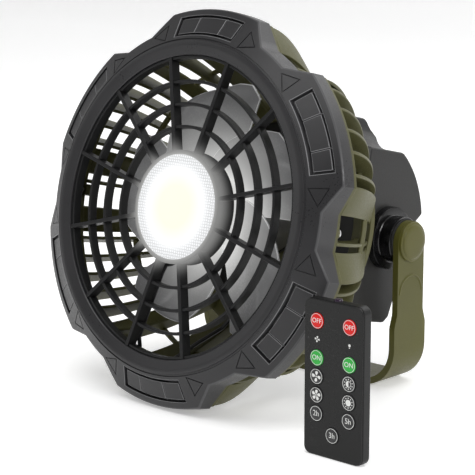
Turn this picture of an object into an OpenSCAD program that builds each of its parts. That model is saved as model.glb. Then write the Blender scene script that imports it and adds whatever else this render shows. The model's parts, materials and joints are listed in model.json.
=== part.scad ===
// Portable camping fan with a centre lamp, a battery case on its back, a tilting stand and a
// card remote. Millimetres, +Z up. The origin lies on the ground, under the stand's pivots.
// Fan parts are drawn in fan coordinates (z along the air stream, y towards 12 o'clock) and
// placed by in_fan(). Parts of the case are drawn in head coordinates (y = depth behind the
// fan's opening) and placed by in_head(). The remote is drawn lying flat, placed by in_remote().

/* [Bezel] */
// Radius of the round opening
opening_r = 88; // [84:1:100]
// Radius over the lobes
bezel_r = 116; // [114:1:124]
// Depth of the notches between the lobes
notch_drop = 10.5; // [9:0.5:15]
// Half angle of a lobe's outer edge
lobe_half = 17; // [14:0.5:18]
// Half angle of a notch's floor
notch_half = 5.5; // [4:0.5:7]
// Width of the rounded rim around the opening
rim_w = 7; // [5:0.5:9]
// Height of the rim's crest over the opening's edge
rim_rise = 1.8; // [1:0.1:3]
// Depth of the flange's outer edge behind the opening
flange_set = 9; // [6:0.5:11]
// Depth of the bezel's side wall behind the opening
bezel_depth = 18; // [16:0.5:22]
// Wall of the bezel
bezel_wall = 3; // [2.4:0.1:3.5]
// Depth of the duct lip inside the opening
duct_depth = 8; // [7:0.5:10]
// Depth of the recess in each lobe
recess_drop = 1.8; // [1:0.1:2]
// Half angle of the recess in each lobe
recess_half = 13; // [11:0.5:14]

/* [Grille] */
// Number of spokes
spokes = 12; // [8:1:16]
// Thickness of a spoke
spoke_t = 2.4; // [1.8:0.1:3]
// Depth of a spoke
spoke_d = 7; // [5:0.5:8]
// Radius of the outermost of the three rings
grille_ring_r = 73; // [70:1:78]
// Distance between the rings
grille_ring_gap = 13.2; // [9:0.2:14]
// Thickness of a ring
ring_t = 1.8; // [1.4:0.1:2.4]
// Radius of the lamp's housing ring
lamp_r = 33; // [30:0.5:36]
// Wall of the lamp's housing ring
lamp_wall = 2.6; // [2:0.1:3]
// Depth of the lamp's housing ring
lamp_depth = 14; // [12:0.5:16]

/* [Lamp] */
// Thickness of the lens
lens_t = 2; // [1.5:0.1:3]
// Radius of the light board
led_r = 14; // [10:0.5:16]
// Thickness of the light board
led_t = 1.6; // [1:0.1:2]

/* [Housing] */
// Fins on each lobe
fins = 5; // [3:1:6]
// Angle between two fins
fin_step = 6.6; // [6:0.1:7]
// Thickness of a fin
fin_t = 2; // [1.5:0.1:2.6]
// Radius of the housing's rear ring, outside
tail_r = 70; // [66:1:74]
// Depth of the housing's rear face behind the opening
housing_depth = 92; // [88:1:98]
// How square the fins' shoulder is
fin_curve = 1.7; // [1.4:0.1:2.2]
// Radial width of a fin
fin_w = 13; // [12:0.5:15]
// Thickness of the strip behind the bezel
strip_t = 4; // [3:0.5:5]
// Thickness of the rear spider
spider_t = 4; // [3:0.5:5]
// Width of the rear spider's arms
spider_arm_w = 6; // [4:0.5:8]
// Thickness of the smooth panels behind the notches
panel_t = 2; // [1.6:0.1:2.6]
// Wall of the mid ring that ties the fins
mid_ring_t = 2; // [1.6:0.1:2.4]

/* [Rotor and motor] */
// Number of blades
blades = 5; // [4:1:7]
// Radius over the blade tips
rotor_r = 78; // [70:1:80]
// Radius of the rotor's hub
hub_r = 25; // [22:0.5:28]
// Height of the rotor's hub
hub_h = 22; // [18:0.5:24]
// Depth of the blades' mid plane behind the opening
rotor_depth = 33; // [31:0.5:36]
// Pitch of a blade at its root
pitch_root = 36; // [24:1:40]
// Pitch of a blade at its tip
pitch_tip = 20; // [14:1:26]
// Thickness of a blade
blade_t = 1.8; // [1.4:0.1:2.4]
// Radius of the motor
motor_r = 21; // [18:0.5:23]
// Length of the motor
motor_l = 38; // [30:0.5:39]
// Radius of the motor's shaft
shaft_r = 2.5; // [2:0.1:3]
// Outer radius of a ball bearing
bearing_r = 8; // [7:0.5:9]
// Width of a ball bearing
bearing_w = 5; // [4:0.5:6]

/* [Case] */
// Half width of the battery case
case_hw = 60; // [56:1:62]
// Height of the case's top above the fan's axis
case_top = 52; // [50:1:58]
// Depth of the case's bottom below the fan's axis
case_bottom = 52; // [50:1:58]
// Length of the case behind its plate
case_l = 61; // [58:1:65]
// Wall of the case
case_wall = 2.6; // [2:0.1:3.2]
// Half width of the raised block on the case's top
hump_hw = 26; // [22:1:30]
// Height of the raised block above the case's top
hump_h = 18; // [14:0.5:20]
// Thickness of the plate that closes the case
plate_t = 3; // [2.4:0.1:4]

/* [Battery and controls] */
// Radius of a battery cell
cell_r = 9.2; // [8.5:0.1:9.3]
// Length of a battery cell
cell_l = 65; // [60:0.5:71]
// Radius of a round push button
button_r = 7; // [5:0.5:8]
// Travel of a push button
button_travel = 1.2; // [0.8:0.1:1.6]
// Width of the port cover
cover_w = 40; // [34:1:46]
// Height of the port cover
cover_h = 14; // [12:0.5:16]

/* [Stand] */
// Distance over the stand's legs
stand_w = 158; // [156:1:170]
// Thickness of the stand's strip
stand_t = 4; // [3:0.5:4.5]
// Width of a leg at the pivot
leg_w = 25; // [22:1:28]
// Width of the strip at the foot
foot_w = 30; // [28:1:36]
// Outer radius of the stand's bends
bend_r = 25; // [16:1:30]
// Depth of the pivot behind the case's plate
pivot_in = 28; // [26:0.5:31]
// Tilt of the head, leaning back
tilt = 13; // [8:0.5:16]
// Radius of the pivot caps
cap_r = 12; // [9:0.5:12.5]
// Height of the pivot caps over the leg
cap_h = 2.6; // [1.5:0.1:4]
// Radius of the pivot bolts
bolt_r = 4; // [3:0.25:5]
// Radius of the pivot bosses
boss_r = 19; // [16:0.5:20]

/* [Remote] */
// Width of the remote
remote_w = 40; // [36:1:46]
// Height of the remote
remote_h = 86; // [82:1:94]
// Thickness of the remote
remote_t = 7; // [7:0.5:9]
// Corner radius of the remote
remote_corner = 4.5; // [3:0.5:6]
// Radius of a key
key_r = 4.3; // [3.6:0.1:4.6]
// Travel of a key
key_travel = 0.4; // [0.3:0.05:0.5]
// Place of the remote to the right of the pivots' middle
remote_x = 134; // [134:1:170]
// Place of the remote in front of the pivots
remote_y = -131; // [-160:1:-125]
// Turn of the remote about the upright
remote_turn = 0; // [0:1:25]

/* [Fits] */
// Radial clearance of a shaft or pin in its bore
running = 0.05; // [0.03:0.01:0.08]
// Gap between faces that move past each other
gap = 0.4; // [0.3:0.05:0.6]
// Radial clearance of a screw in its hole
screw_gap = 0.25; // [0.2:0.05:0.4]
// Clearance of a part that sits in its pocket
slip = 0.1; // [0.05:0.05:0.2]
// Gap between the remote's small parts
play = 0.3; // [0.2:0.05:0.3]

/* [Hidden] */
$fn = 96;
eps = 0.01;

// Colours
black = [0.13, 0.13, 0.14];
dark_grey = [0.24, 0.24, 0.25];
olive = [0.41, 0.41, 0.26];
smoke = [0.45, 0.47, 0.48];
steel = [0.7, 0.71, 0.73];
board_green = [0.1, 0.35, 0.2];

// Frame: the bezel's back edge and the foot both touch the ground
plate_front = housing_depth;
case_front = plate_front + plate_t;
case_depth = case_front + case_l;
pivot_depth = case_front + pivot_in;
pivot_h = bezel_r * cos(tilt) - (pivot_depth - bezel_depth) * sin(tilt);

// Bezel
lobes = 6;
lobe_pitch = 360 / lobes;
side_angle = lobe_pitch / 2 - notch_half - lobe_half;
side_run = bezel_r * side_angle * PI / 180;
side_len = norm([side_run, notch_drop]);
inset_shift = (side_len - side_run) / notch_drop;
crest_r = opening_r + rim_w;
flange_slope = (rim_rise + flange_set) / (bezel_r - crest_r);
recess_in = 4.5;
recess_out = 4;
block_root = 0.4;
recess_r1 = crest_r + recess_in;
recess_r2 = bezel_r - recess_out;
cell_inset = 1.2;
cell_sink = 0.5;
cell_spans = [[-12, -5.2], [-4.4, 5.4], [6.2, 12]];
mark_drop = 0.6;
mark = [[8, 22], [14, 18], [5.4, 16.8]];
groove_w = 0.8;
groove_in = 1.4;
screw_r = 1.5;
screw_head_r = 2.8;
screw_head_h = 1.6;
screw_circle_r = bezel_r - notch_drop - bezel_wall - 4;
screw_boss_r = 3.6;
screw_bite = 8;

// Grille
spoke_phase = 180 / spokes;
grille_rings = 3;
ring_back = 1;
ring_d = spoke_d - ring_back;

// Lamp
lens_r = lamp_r - lamp_wall;
lens_dome = 1.2;
reflector_t = 1.2;
reflector_seat = 2.4;
cup_t = 2;
neck_r = 12;
neck_t = 2;
neck_h = 1.4;
patch_t = 0.8;
receiver_w = 3.4;
receiver_h = 1.6;
receiver_lip = 0.2;
led_patch_r = led_r - receiver_w - patch_t;
led_face = -lamp_depth + cup_t + led_t;

// Housing
strip_back = bezel_depth + strip_t;
strip_in = 1.2;
strip_hole = 5;
pad_h = 4;
fin_r = bezel_r - 1.6;
notch_r = bezel_r - notch_drop - 1;
tail_w = 9;
tail_lip = 4;
panel_half = lobe_pitch / 2 - (fins - 1) / 2 * fin_step - 3.4;
panel_steps = 4;
fin_points = 12;
seat = 1;
mid_ring_depth = 56;
mid_ring_h = 4;
mid_ring_sink = 0.5;
fin_front_depth = (strip_back + mid_ring_depth) / 2;
fin_back_depth = (mid_ring_depth + housing_depth) / 2;
mid_ring_r = hull_r(notch_r, mid_ring_depth + mid_ring_h) - panel_t + mid_ring_sink;
notch_tie_r = hull_r(notch_r, mid_ring_depth + mid_ring_h / 2);
notch_tie_end = 0.8;
notch_fin_w = fin_w - 3;
// The fin in a notch stands beside the screw's boss, clear of the screw and its driver
notch_fin_turn = asin((screw_boss_r + fin_t / 2 + 2 * gap) / screw_circle_r);
spider_r = 30;
spider_arms = 6;
lead_sides = 8;
lamp_lead_r = 1.3;
motor_lead_r = 1.8;
motor_lead_clock = 150;
motor_hole_in = 12;
motor_hole_r = spider_r + motor_hole_in;
plate_hole_in = 15;
plate_hole_r = spider_r + plate_hole_in;
lead_end = 4;
lead_bend = 8;
lead_room = 1.7;
lead_clock = 180 + (fins - 1) / 2 * fin_step;
spoke_clock = 180 + spoke_phase;
lead_z = spoke_d + lamp_lead_r + slip;
cup_back = lamp_depth + lamp_lead_r + slip;
case_screw_r = 48;
case_screw_clocks = [60, 120, 240, 300];
case_pad_r = 4.4;

// Rotor and motor
hub_front = rotor_depth - hub_h / 2;
motor_back = housing_depth - spider_t;
motor_front = motor_back - motor_l;
motor_wall = 1.6;
motor_cap_t = 4;
motor_plug = 3;
motor_screw_r = 15;
motor_screw_clocks = [45 : 90 : 315];
head_sink = 0.2;
shaft_room = 1;
front_bearing_z = -motor_front - motor_wall;
rear_bearing_z = -motor_back + motor_cap_t + motor_plug;
coil_w = 4;
coil_room = 1;
coil_front = front_bearing_z - bearing_w - coil_room;
coil_l = coil_front - rear_bearing_z - 2 * coil_room;
air_gap = 1;
shaft_front = hub_front - 5;
nut_r = 5;
nut_h = 4;
hub_wall = 2;
blade_in = hub_r - 1;
blade_rows = 7;
blade_cols = 8;
blade_arc_in = 96;
blade_arc_out = 46;
blade_start = -34;
blade_lean = 27;
blade_camber = 3;
blade_share = 0.42;
tip_drop = [[0, 10], [0.25, 8], [0.5, 6], [0.625, 4], [0.75, 1], [0.875, 0], [1, 6]];

// Case
back_peak_z = 17;
back_run = 28;
back_high = case_depth - back_run;
back_bulge = 3;
back_edge = 6;
back_low = case_depth - 18;
case_chamfer = 4;
hump_depth = back_high;
hump_front = 6;
hump_flare = case_hw - hump_hw - 2;
hump_ease = 4;
hump_steps = 8;
back_steps = 10;

// Controls on the sloping lower back of the case
panel_top_z = back_peak_z - back_edge;
panel_top_y = case_depth - back_edge;
panel_a = atan((panel_top_y - back_low) / (panel_top_z + case_bottom - case_chamfer));
port_z = -38;
button_z = -10;
button_x = 26;
button_stand = button_travel + 0.4;
button_flange = 1.4;
button_lip = 1.6;
button_foot = case_wall + gap + button_flange;
stem_r = 2;
switch_w = 6;
switch_h = 3;
board_t = 1.6;
post_r = 2.2;
post_root = 0.5;
panel_board_z = 13;
panel_board_hw = 40;
panel_board_up = 8;
panel_board_down = 6;
panel_post_in = 3;
power_board_z = button_foot + 6 + switch_h;
power_board_hw = hump_hw - case_wall - 3;
power_board_d = 12;
power_post_x = power_board_hw - 3;
power_in = 17;
power_y = case_front + power_in;
cells_across = 4;
cell_pitch = 2 * cell_r + 1;
cradle_t = 1.6;
cradle_front = case_front + lead_end + 1;
cradle_share = 0.55;
cells_y = cradle_front + cradle_t + cell_r;
cells_z = -case_bottom + case_wall + cradle_t;
board_y = cells_y + cell_r + 1;
board_top = 12;
chip = [16, 2, 8];
cover_t = 2.4;
cover_hinge_r = 1.3;
cover_tab = [8, 2.4];
gauge_w = 18;
gauge_h = 6;
usb_a = [13.2, 5.6];
usb_c = [9, 3.4];
usb_a_x = -14;
usb_c_x = 8;
socket_wall = 0.6;
socket_floor = 2;
tongue = [0.7, 0.32];
tongue_in = 4;

// Stand
inner_hw = stand_w / 2 - stand_t;
flare_z = 39;
flare_h = 7;
washer_t = 1.2;
boss_step = 5;
bolt_head_t = 4;
bolt_head_x = case_hw - case_wall - gap - bolt_head_t;
bolt_head_r = bolt_r + 3;
board_hw = bolt_head_x - 5;
boss_neck_r = 14;
boss_end = inner_hw - gap - washer_t;
arch_r = 10.5;
arch_w = 1;
arch_h = 0.5;
arch_root = 0.5;
arch_drop = 31;
cap_edge = 1.4;

// Remote
key_pitch_x = 22;
key_top_row = 0.136 * remote_h;
key_on_row = 0.37 * remote_h;
key_step = 0.1186 * remote_h;
key_count = 4;
key_left = -key_pitch_x / 2;
key_right = key_pitch_x / 2;
key_red = [0.84, 0.14, 0.1];
key_green = [0.24, 0.67, 0.29];
key_sink = 0.6;
key_rise = 0.5;
face_t = 0.8;
face_in = 0.3;
remote_wall = 1.4;
remote_floor = 1.1;
tray_w = 24;
tray_h = 22;
tray_floor = 0.5;
tray_z = remote_floor + play;
coin_r = 9.6;
coin_h = 2;
coin_y = coin_r + 1.8;
tray_t = tray_floor + coin_h + slip;
remote_board_t = 0.6;
remote_board_top = remote_t - face_t - key_sink - key_travel - play;
emitter_r = 2.3;
emitter_l = remote_wall;
emitter_z = 3.1;

// ---------------------------------------------------------------- places

// Head coordinates: x right, y depth behind the opening, z towards 12 o'clock
module in_head()
    translate([0, 0, pivot_h]) rotate([-tilt, 0, 0]) translate([0, -pivot_depth, 0]) children();

// Fan coordinates: z along the air stream, y towards 12 o'clock
module in_fan() in_head() rotate([90, 0, 0]) children();

// Remote coordinates: x right, y up the face, z out of the face, its foot at y = 0
module in_remote()
    translate([remote_x, remote_y, 0]) rotate([0, 0, remote_turn]) rotate([90, 0, 0]) children();

// Coordinates on the case's lower back: z out of the surface, y up it, x to the right seen
// from behind
module on_back(z)
    in_head() translate([0, back_y(z), z]) rotate([90 + panel_a, 0, 180]) children();

// Depth of the case's sloping lower back at height z
function back_y(z) = panel_top_y - (panel_top_z - z) * tan(panel_a);

// ---------------------------------------------------------------- shared shapes

function polar(r, a) = [r * sin(a), r * cos(a)];

// A tube whose front end is at z = top and that is h long
module tube(r_out, r_in, top, h)
    translate([0, 0, top - h]) difference() {
        cylinder(r = r_out, h = h);
        translate([0, 0, -1]) cylinder(r = r_in, h = h + 2);
    }

// A disc whose front face is at z = top
module disc(r, top, h) translate([0, 0, top - h]) cylinder(r = r, h = h);

// The bezel's lobed outline, drawn in by t
function lobe_edge(t) = lobe_half - inset_shift * t / bezel_r * 180 / PI;
function notch_edge(t) = notch_half + inset_shift * t / bezel_r * 180 / PI;
function outline(t) = [for (k = [0 : lobes - 1]) each concat(
    [for (i = [-8 : 8]) polar(bezel_r - t, k * lobe_pitch + i / 8 * lobe_edge(t))],
    [for (i = [-1 : 1]) polar(bezel_r - notch_drop - t,
        (k + 0.5) * lobe_pitch + i * notch_edge(t))])];

module outline_prism(t, top, h)
    translate([0, 0, top - h]) linear_extrude(h) polygon(outline(t));

// Height of the flange's surface at radius r
function flange_z(r) = rim_rise - (r - crest_r) * flange_slope;

// A piece of ring between two clock angles, from a profile of [radius, z] points
module arc_piece(from, to, profile)
    rotate([0, 0, 90 - to]) rotate_extrude(angle = to - from) polygon(profile);

// A band of the flange between two radii, from its surface + up to its surface - down
function flange_band(r1, r2, up, down) = [[r1, flange_z(r1) + up], [r2, flange_z(r2) + up],
    [r2, flange_z(r2) - down], [r1, flange_z(r1) - down]];

// Places copies at the notches' clock angles
module at_notches() for (k = [0 : lobes - 1]) rotate([0, 0, (k + 0.5) * lobe_pitch]) children();

module at_lobes() for (k = [0 : lobes - 1]) rotate([0, 0, k * lobe_pitch]) children();

// A screw with its head's top at z = 0 and its shank along -z
module screw(length) {
    disc(screw_head_r, 0, screw_head_h);
    disc(screw_r, -screw_head_h, length);
}

// ---------------------------------------------------------------- bezel and grille

module front_bezel() color(black) in_fan() {
    bezel_ring();
    lobe_blocks();
}

module bezel_ring() difference() {
    union() {
        difference() {
            intersection() {
                rotate_extrude() polygon([[opening_r, 0], [crest_r - 2, rim_rise],
                    [crest_r, rim_rise], [bezel_r + 1, flange_z(bezel_r + 1)],
                    [bezel_r + 1, -bezel_depth], [opening_r, -bezel_depth]]);
                outline_prism(0, rim_rise + 1, bezel_depth + rim_rise + 1);
            }
            intersection() {
                rotate_extrude() polygon([[opening_r + bezel_wall, -bezel_wall],
                    [crest_r, rim_rise - bezel_wall],
                    [bezel_r + 1, flange_z(bezel_r + 1) - bezel_wall],
                    [bezel_r + 1, -bezel_depth - 1], [opening_r + bezel_wall, -bezel_depth - 1]]);
                outline_prism(bezel_wall, 0, bezel_depth + 1);
            }
            disc(opening_r + bezel_wall + eps, -duct_depth, bezel_depth);
        }
        at_notches() translate([0, screw_circle_r, 0])
            disc(screw_boss_r, -bezel_wall, bezel_depth - bezel_wall);
    }
    at_lobes() arc_piece(-recess_half, recess_half,
        flange_band(recess_r1, recess_r2, 1, recess_drop));
    at_notches() translate([0, screw_circle_r, 0])
        disc(screw_r, -bezel_wall - 2, bezel_depth);
    rotate_extrude() polygon(flange_band(crest_r + groove_in, crest_r + groove_in + groove_w, 1,
        mark_drop));
    at_lobes() for (side = [-1, 1]) flange_mark(side);
}

// The raised blocks that stand in the lobes' recesses are part of the bezel's moulding
module lobe_blocks() at_lobes() for (span = cell_spans)
    arc_piece(span[0], span[1], flange_band(recess_r1 + cell_inset, recess_r2 - cell_inset,
        -cell_sink, recess_drop + block_root));

// A triangular groove near the end of a lobe, cut to one depth along the sloping flange
module flange_mark(side) intersection() {
    rotate_extrude() polygon(flange_band(crest_r + 2, bezel_r - 2, 1, mark_drop));
    translate([0, 0, -flange_set - 2]) linear_extrude(flange_set + rim_rise + 4) difference() {
        mark_triangle(side, 0);
        mark_triangle(side, groove_w);
    }
}

// A triangle near the end of a lobe, drawn in by t
module mark_triangle(side, t)
    polygon([polar(crest_r + mark[0][0] - t, side * (mark[0][1] - t)),
        polar(crest_r + mark[1][0] - 2.2 * t, side * mark[1][1]),
        polar(crest_r + mark[2][0] + t, side * (mark[2][1] + t / 2))]);

module front_grille() color(black) in_fan() {
    difference() {
        union() {
            for (i = [0 : spokes - 1]) rotate([0, 0, spoke_phase + i * 360 / spokes])
                translate([-spoke_t / 2, lamp_r - 1, -spoke_d])
                    cube([spoke_t, opening_r - lamp_r + 1 - 0.1, spoke_d]);
            for (i = [0 : grille_rings - 1]) tube(grille_ring_r - i * grille_ring_gap + ring_t / 2,
                grille_ring_r - i * grille_ring_gap - ring_t / 2, -ring_back, ring_d);
            tube(opening_r, opening_r - ring_t, -ring_back, ring_d);
            disc(lamp_r, 0, lamp_depth);
        }
        disc(lens_r, 1, lamp_depth + 2);
    }
}

// ---------------------------------------------------------------- lamp

module lamp_lens() color([0.95, 0.96, 0.9, 0.6]) in_fan() rotate_extrude()
    polygon(concat([[0, -lens_t], [lens_r, -lens_t]],
        [for (i = [0 : 6]) [lens_r * (1 - i / 6), lens_dome * sin(15 * i)]]));

module lamp_reflector() color("whitesmoke") in_fan() difference() {
    rotate_extrude() polygon([[led_r, led_face],
        [lens_r - slip, -lens_t - slip], [lens_r - slip, -lens_t - slip - reflector_t],
        [led_r + reflector_seat, -lamp_depth + cup_t], [led_r, -lamp_depth + cup_t]]);
    translate([0, 0, -lamp_depth]) cylinder(r = led_r, h = lamp_depth);
}

module led_board() color([1, 0.86, 0.35]) in_fan() {
    disc(led_r - slip, led_face, led_t);
    disc(led_patch_r, led_face + patch_t, patch_t);
}

module lamp_cup() color(black) in_fan() {
    disc(lens_r, -lamp_depth + cup_t, cup_t);
    tube(neck_r, neck_r - neck_t, -lamp_depth, neck_h);
}

// Receiver for the remote, on the light board's edge under the lens
module ir_receiver() color([0.12, 0.1, 0.12]) in_fan()
    translate([0, -led_r + receiver_w / 2 + receiver_lip, led_face]) {
        translate([-receiver_w / 2, -receiver_w / 2, 0])
            cube([receiver_w, receiver_w, receiver_h]);
        translate([0, 0, receiver_h]) intersection() {
            sphere(r = receiver_w / 2 - receiver_lip, $fn = 48);
            translate([0, 0, -eps]) cylinder(r = receiver_w, h = receiver_w);
        }
    }

// ---------------------------------------------------------------- housing

// Outer radius of the housing at depth d, starting from radius r at the strip
function hull_r(r, d) = tail_r + (r - tail_r)
    * (1 - pow(max(0, d - strip_back) / (housing_depth - strip_back), fin_curve));

// Depth of row i of a fin, from the strip's back to the rear ring's front
function fin_depth(i) = strip_back + (housing_depth - spider_t - strip_back) * i / fin_points;

// Depth of row i of a panel; the first row starts inside the strip, the last ends inside the ring
function panel_depth(i) = strip_back - seat + (housing_depth - strip_back) * i / fin_points;

// A fin of width w that starts from radius r and passes the given depths
module fin(r, w, depths) rotate([0, 0, 90]) rotate([90, 0, 0]) translate([0, 0, -fin_t / 2])
    linear_extrude(fin_t) polygon(concat([for (d = depths) [hull_r(r, d), -d]],
        [for (i = [fin_points : -1 : 0]) [hull_r(r, depths[i]) - w, -depths[i]]]));

// Radius at which a panel starts, from a notch's flat (0) to the lobe's fins (1)
function panel_start(u) = notch_r + (fin_r - notch_r) * u;

// A smooth panel behind one slope of a notch, a skin that follows the slope and the fins' curve
module slope_panel() {
    rows = fin_points + 1;
    cols = panel_steps + 1;
    skin = [for (t = [0, panel_t]) for (i = [0 : fin_points]) for (j = [0 : panel_steps])
        let (u = j / panel_steps, d = panel_depth(i), r = hull_r(panel_start(u), d) - t,
            a = notch_half + (panel_half - notch_half) * u)
        [r * sin(a), r * cos(a), -d]];
    n = rows * cols;
    function at(s, i, j) = s * n + i * cols + j;
    faces = concat(
        [for (i = [0 : rows - 2]) for (j = [0 : cols - 2]) each [
            [at(0, i, j), at(0, i + 1, j + 1), at(0, i, j + 1)],
            [at(0, i, j), at(0, i + 1, j), at(0, i + 1, j + 1)],
            [at(1, i, j), at(1, i, j + 1), at(1, i + 1, j + 1)],
            [at(1, i, j), at(1, i + 1, j + 1), at(1, i + 1, j)]]],
        [for (i = [0 : rows - 2]) each [
            [at(0, i, 0), at(1, i, 0), at(1, i + 1, 0), at(0, i + 1, 0)],
            [at(0, i, cols - 1), at(0, i + 1, cols - 1), at(1, i + 1, cols - 1), at(1, i, cols - 1)]]],
        [for (j = [0 : cols - 2]) each [
            [at(0, 0, j), at(0, 0, j + 1), at(1, 0, j + 1), at(1, 0, j)],
            [at(0, rows - 1, j), at(1, rows - 1, j), at(1, rows - 1, j + 1),
                at(0, rows - 1, j + 1)]]]);
    polyhedron(points = skin, faces = faces);
}

// An arc that ties fins or a notch's panels half way back, half degrees to each side
module ring_arc(half, r) translate([0, 0, -mid_ring_depth - mid_ring_h])
    rotate([0, 0, 90 - half]) rotate_extrude(angle = 2 * half)
        translate([r - mid_ring_t, 0]) square([mid_ring_t, mid_ring_h]);

// Six combs of fins between the strip and the rear ring, each tied by an arc
module housing_fins() color(olive) in_fan() at_lobes() {
    for (i = [0 : fins - 1]) rotate([0, 0, (i - (fins - 1) / 2) * fin_step])
        fin(fin_r, fin_w, [for (k = [0 : fin_points]) fin_depth(k)]);
    ring_arc((fins - 1) / 2 * fin_step, mid_ring_r);
}

module rear_housing() color(olive) in_fan() difference() {
    union() {
        difference() {
            outline_prism(strip_in, -bezel_depth, strip_t);
            disc(hull_r(notch_r, strip_back) - strip_hole, -bezel_depth + 1, strip_t + 2);
        }
        at_notches() {
            for (side = [0, 1]) mirror([side, 0, 0]) slope_panel();
            rotate([0, 0, -notch_fin_turn])
                fin(notch_r, notch_fin_w, [for (k = [0 : fin_points]) panel_depth(k)]);
            ring_arc(notch_half + notch_tie_end, notch_tie_r);
        }
        tube(tail_r + tail_lip, tail_r - tail_w, -housing_depth + spider_t, spider_t);
        disc(spider_r, -housing_depth + spider_t, spider_t);
        for (i = [0 : spider_arms - 1]) rotate([0, 0, i * 360 / spider_arms])
            translate([-spider_arm_w / 2, spider_r - 2, -housing_depth])
                cube([spider_arm_w, tail_r - tail_w - spider_r + 4, spider_t]);
        at_case_screws() disc(case_pad_r, -housing_depth + spider_t, spider_t);
        at_notches() translate([0, screw_circle_r, 0])
            disc(screw_boss_r, -bezel_depth, strip_t + pad_h);
    }
    at_notches() translate([0, screw_circle_r, 0])
        disc(screw_r + screw_gap, -bezel_depth + 1, strip_t + pad_h + 2);
    motor_holes();
    at_case_screws() disc(screw_r + screw_gap, -housing_depth + spider_t + 1, spider_t + 2);
    disc(bearing_r, 0, housing_depth + 1);
}

// ---------------------------------------------------------------- leads

// A place given by radius, clock angle and depth, in fan coordinates
function place(r, clock, depth) = [r * sin(clock), r * cos(clock), -depth];

// The ring of points around point i of a route that keeps to the plane at right angles to side
function lead_ring(route, i, r, side) =
    let (last = len(route) - 1, d = route[min(i + 1, last)] - route[max(i - 1, 0)],
        v = cross(d, side) / norm(cross(d, side)), u = cross(v, d) / norm(d))
    [for (k = [0 : lead_sides - 1]) route[i] + r * (cos(k * 360 / lead_sides) * u
        + sin(k * 360 / lead_sides) * v)];

// A lead swept along its route
module lead(route, r, side) {
    n = lead_sides;
    last = len(route) - 1;
    polyhedron(points = [for (i = [0 : last]) each lead_ring(route, i, r, side)],
        faces = concat([[for (k = [n - 1 : -1 : 0]) k], [for (k = [0 : n - 1]) last * n + k]],
            [for (i = [0 : last - 1]) for (k = [0 : n - 1]) each [
                [i * n + k, i * n + (k + 1) % n, (i + 1) * n + k],
                [i * n + (k + 1) % n, (i + 1) * n + (k + 1) % n, (i + 1) * n + k]]]));
}

// Radius just inside the fins at depth d, where the lamp's lead runs
function lead_r(d) = hull_r(fin_r, d) - fin_w - lamp_lead_r - gap;

// Radius at which the lamp's lead passes the strip
function strip_pass_r() = hull_r(notch_r, strip_back) - strip_hole - lamp_lead_r - lead_room;

// The lamp's lead runs behind a spoke, along a fin and through the plate into the case
module lamp_lead() color(black) in_fan() lead([
    place(lamp_r - 2, spoke_clock, cup_back), place(lamp_r + 1, spoke_clock, cup_back),
    place(lamp_r + 2.2, spoke_clock, lamp_depth - 1), place(lamp_r + 3, spoke_clock, lead_z + 1),
    place(lamp_r + 8, spoke_clock, lead_z), place(opening_r - 6, spoke_clock, lead_z),
    place(strip_pass_r(), lead_clock, strip_back - lead_bend),
    place(strip_pass_r(), lead_clock, strip_back + strip_t),
    place(lead_r(fin_front_depth), lead_clock, fin_front_depth),
    place(lead_r(mid_ring_depth) - mid_ring_t - 2, lead_clock, mid_ring_depth + 2),
    place(lead_r(fin_back_depth), lead_clock, fin_back_depth),
    place(tail_r - tail_w - 5, lead_clock, housing_depth - 6),
    place(plate_hole_r, lead_clock, housing_depth - 2),
    place(plate_hole_r, lead_clock, case_front + lead_end)], lamp_lead_r,
    place(1, lead_clock + 90, 0));

// The motor's lead leaves the motor's side and goes straight back through the plate
module motor_lead() color(black) in_fan() lead([place(motor_r + slip, motor_lead_clock,
    motor_back - 9), place(motor_r + 8, motor_lead_clock, motor_back - 8),
    place(motor_hole_r, motor_lead_clock, housing_depth - 2),
    place(motor_hole_r, motor_lead_clock, case_front + lead_end)], motor_lead_r,
    place(1, motor_lead_clock + 90, 0));

module lead_holes() {
    translate(place(plate_hole_r, lead_clock, case_front + 1))
        cylinder(r = lamp_lead_r + slip, h = plate_t + 2);
    translate(place(motor_hole_r, motor_lead_clock, case_front + 1))
        cylinder(r = motor_lead_r + slip, h = plate_t + 2);
}

// ---------------------------------------------------------------- motor and rotor

module at_motor_screws() for (a = motor_screw_clocks) rotate([0, 0, a])
    translate([0, motor_screw_r, 0]) children();

// The motor screws' holes through the spider, with counterbores for the heads at its rear
module motor_holes() at_motor_screws() {
    disc(screw_r + screw_gap, -housing_depth + spider_t + 1, spider_t + 2);
    disc(screw_head_r + screw_gap, -housing_depth + head_sink + screw_head_h,
        screw_head_h + head_sink + 1);
}

module motor_case() color(steel) in_fan() {
    difference() {
        disc(motor_r, -motor_front, motor_l - motor_cap_t);
        disc(motor_r - motor_wall, front_bearing_z, motor_l);
        disc(shaft_r + shaft_room, 0, housing_depth);
    }
    tube(bearing_r + motor_wall, bearing_r, front_bearing_z + eps, bearing_w);
}

module motor_end_cap() color([0.2, 0.2, 0.22]) in_fan() difference() {
    union() {
        disc(motor_r, -motor_back + motor_cap_t, motor_cap_t);
        disc(motor_r - motor_wall, rear_bearing_z, motor_plug);
    }
    disc(shaft_r + shaft_room, 0, housing_depth);
    disc(bearing_r, rear_bearing_z + 1, bearing_w + 1);
    at_motor_screws() disc(screw_r, rear_bearing_z - 1, motor_cap_t + motor_plug);
}

module motor_bearings() color(steel) in_fan() {
    tube(bearing_r, shaft_r + running, front_bearing_z, bearing_w);
    tube(bearing_r, shaft_r + running, rear_bearing_z, bearing_w);
}

module motor_stator() color([0.72, 0.42, 0.2]) in_fan()
    tube(motor_r - motor_wall, motor_r - motor_wall - coil_w, coil_front, coil_l);

module motor_shaft() color(steel) in_fan()
    disc(shaft_r, -shaft_front, -rear_bearing_z + bearing_w - shaft_room - shaft_front);

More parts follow.
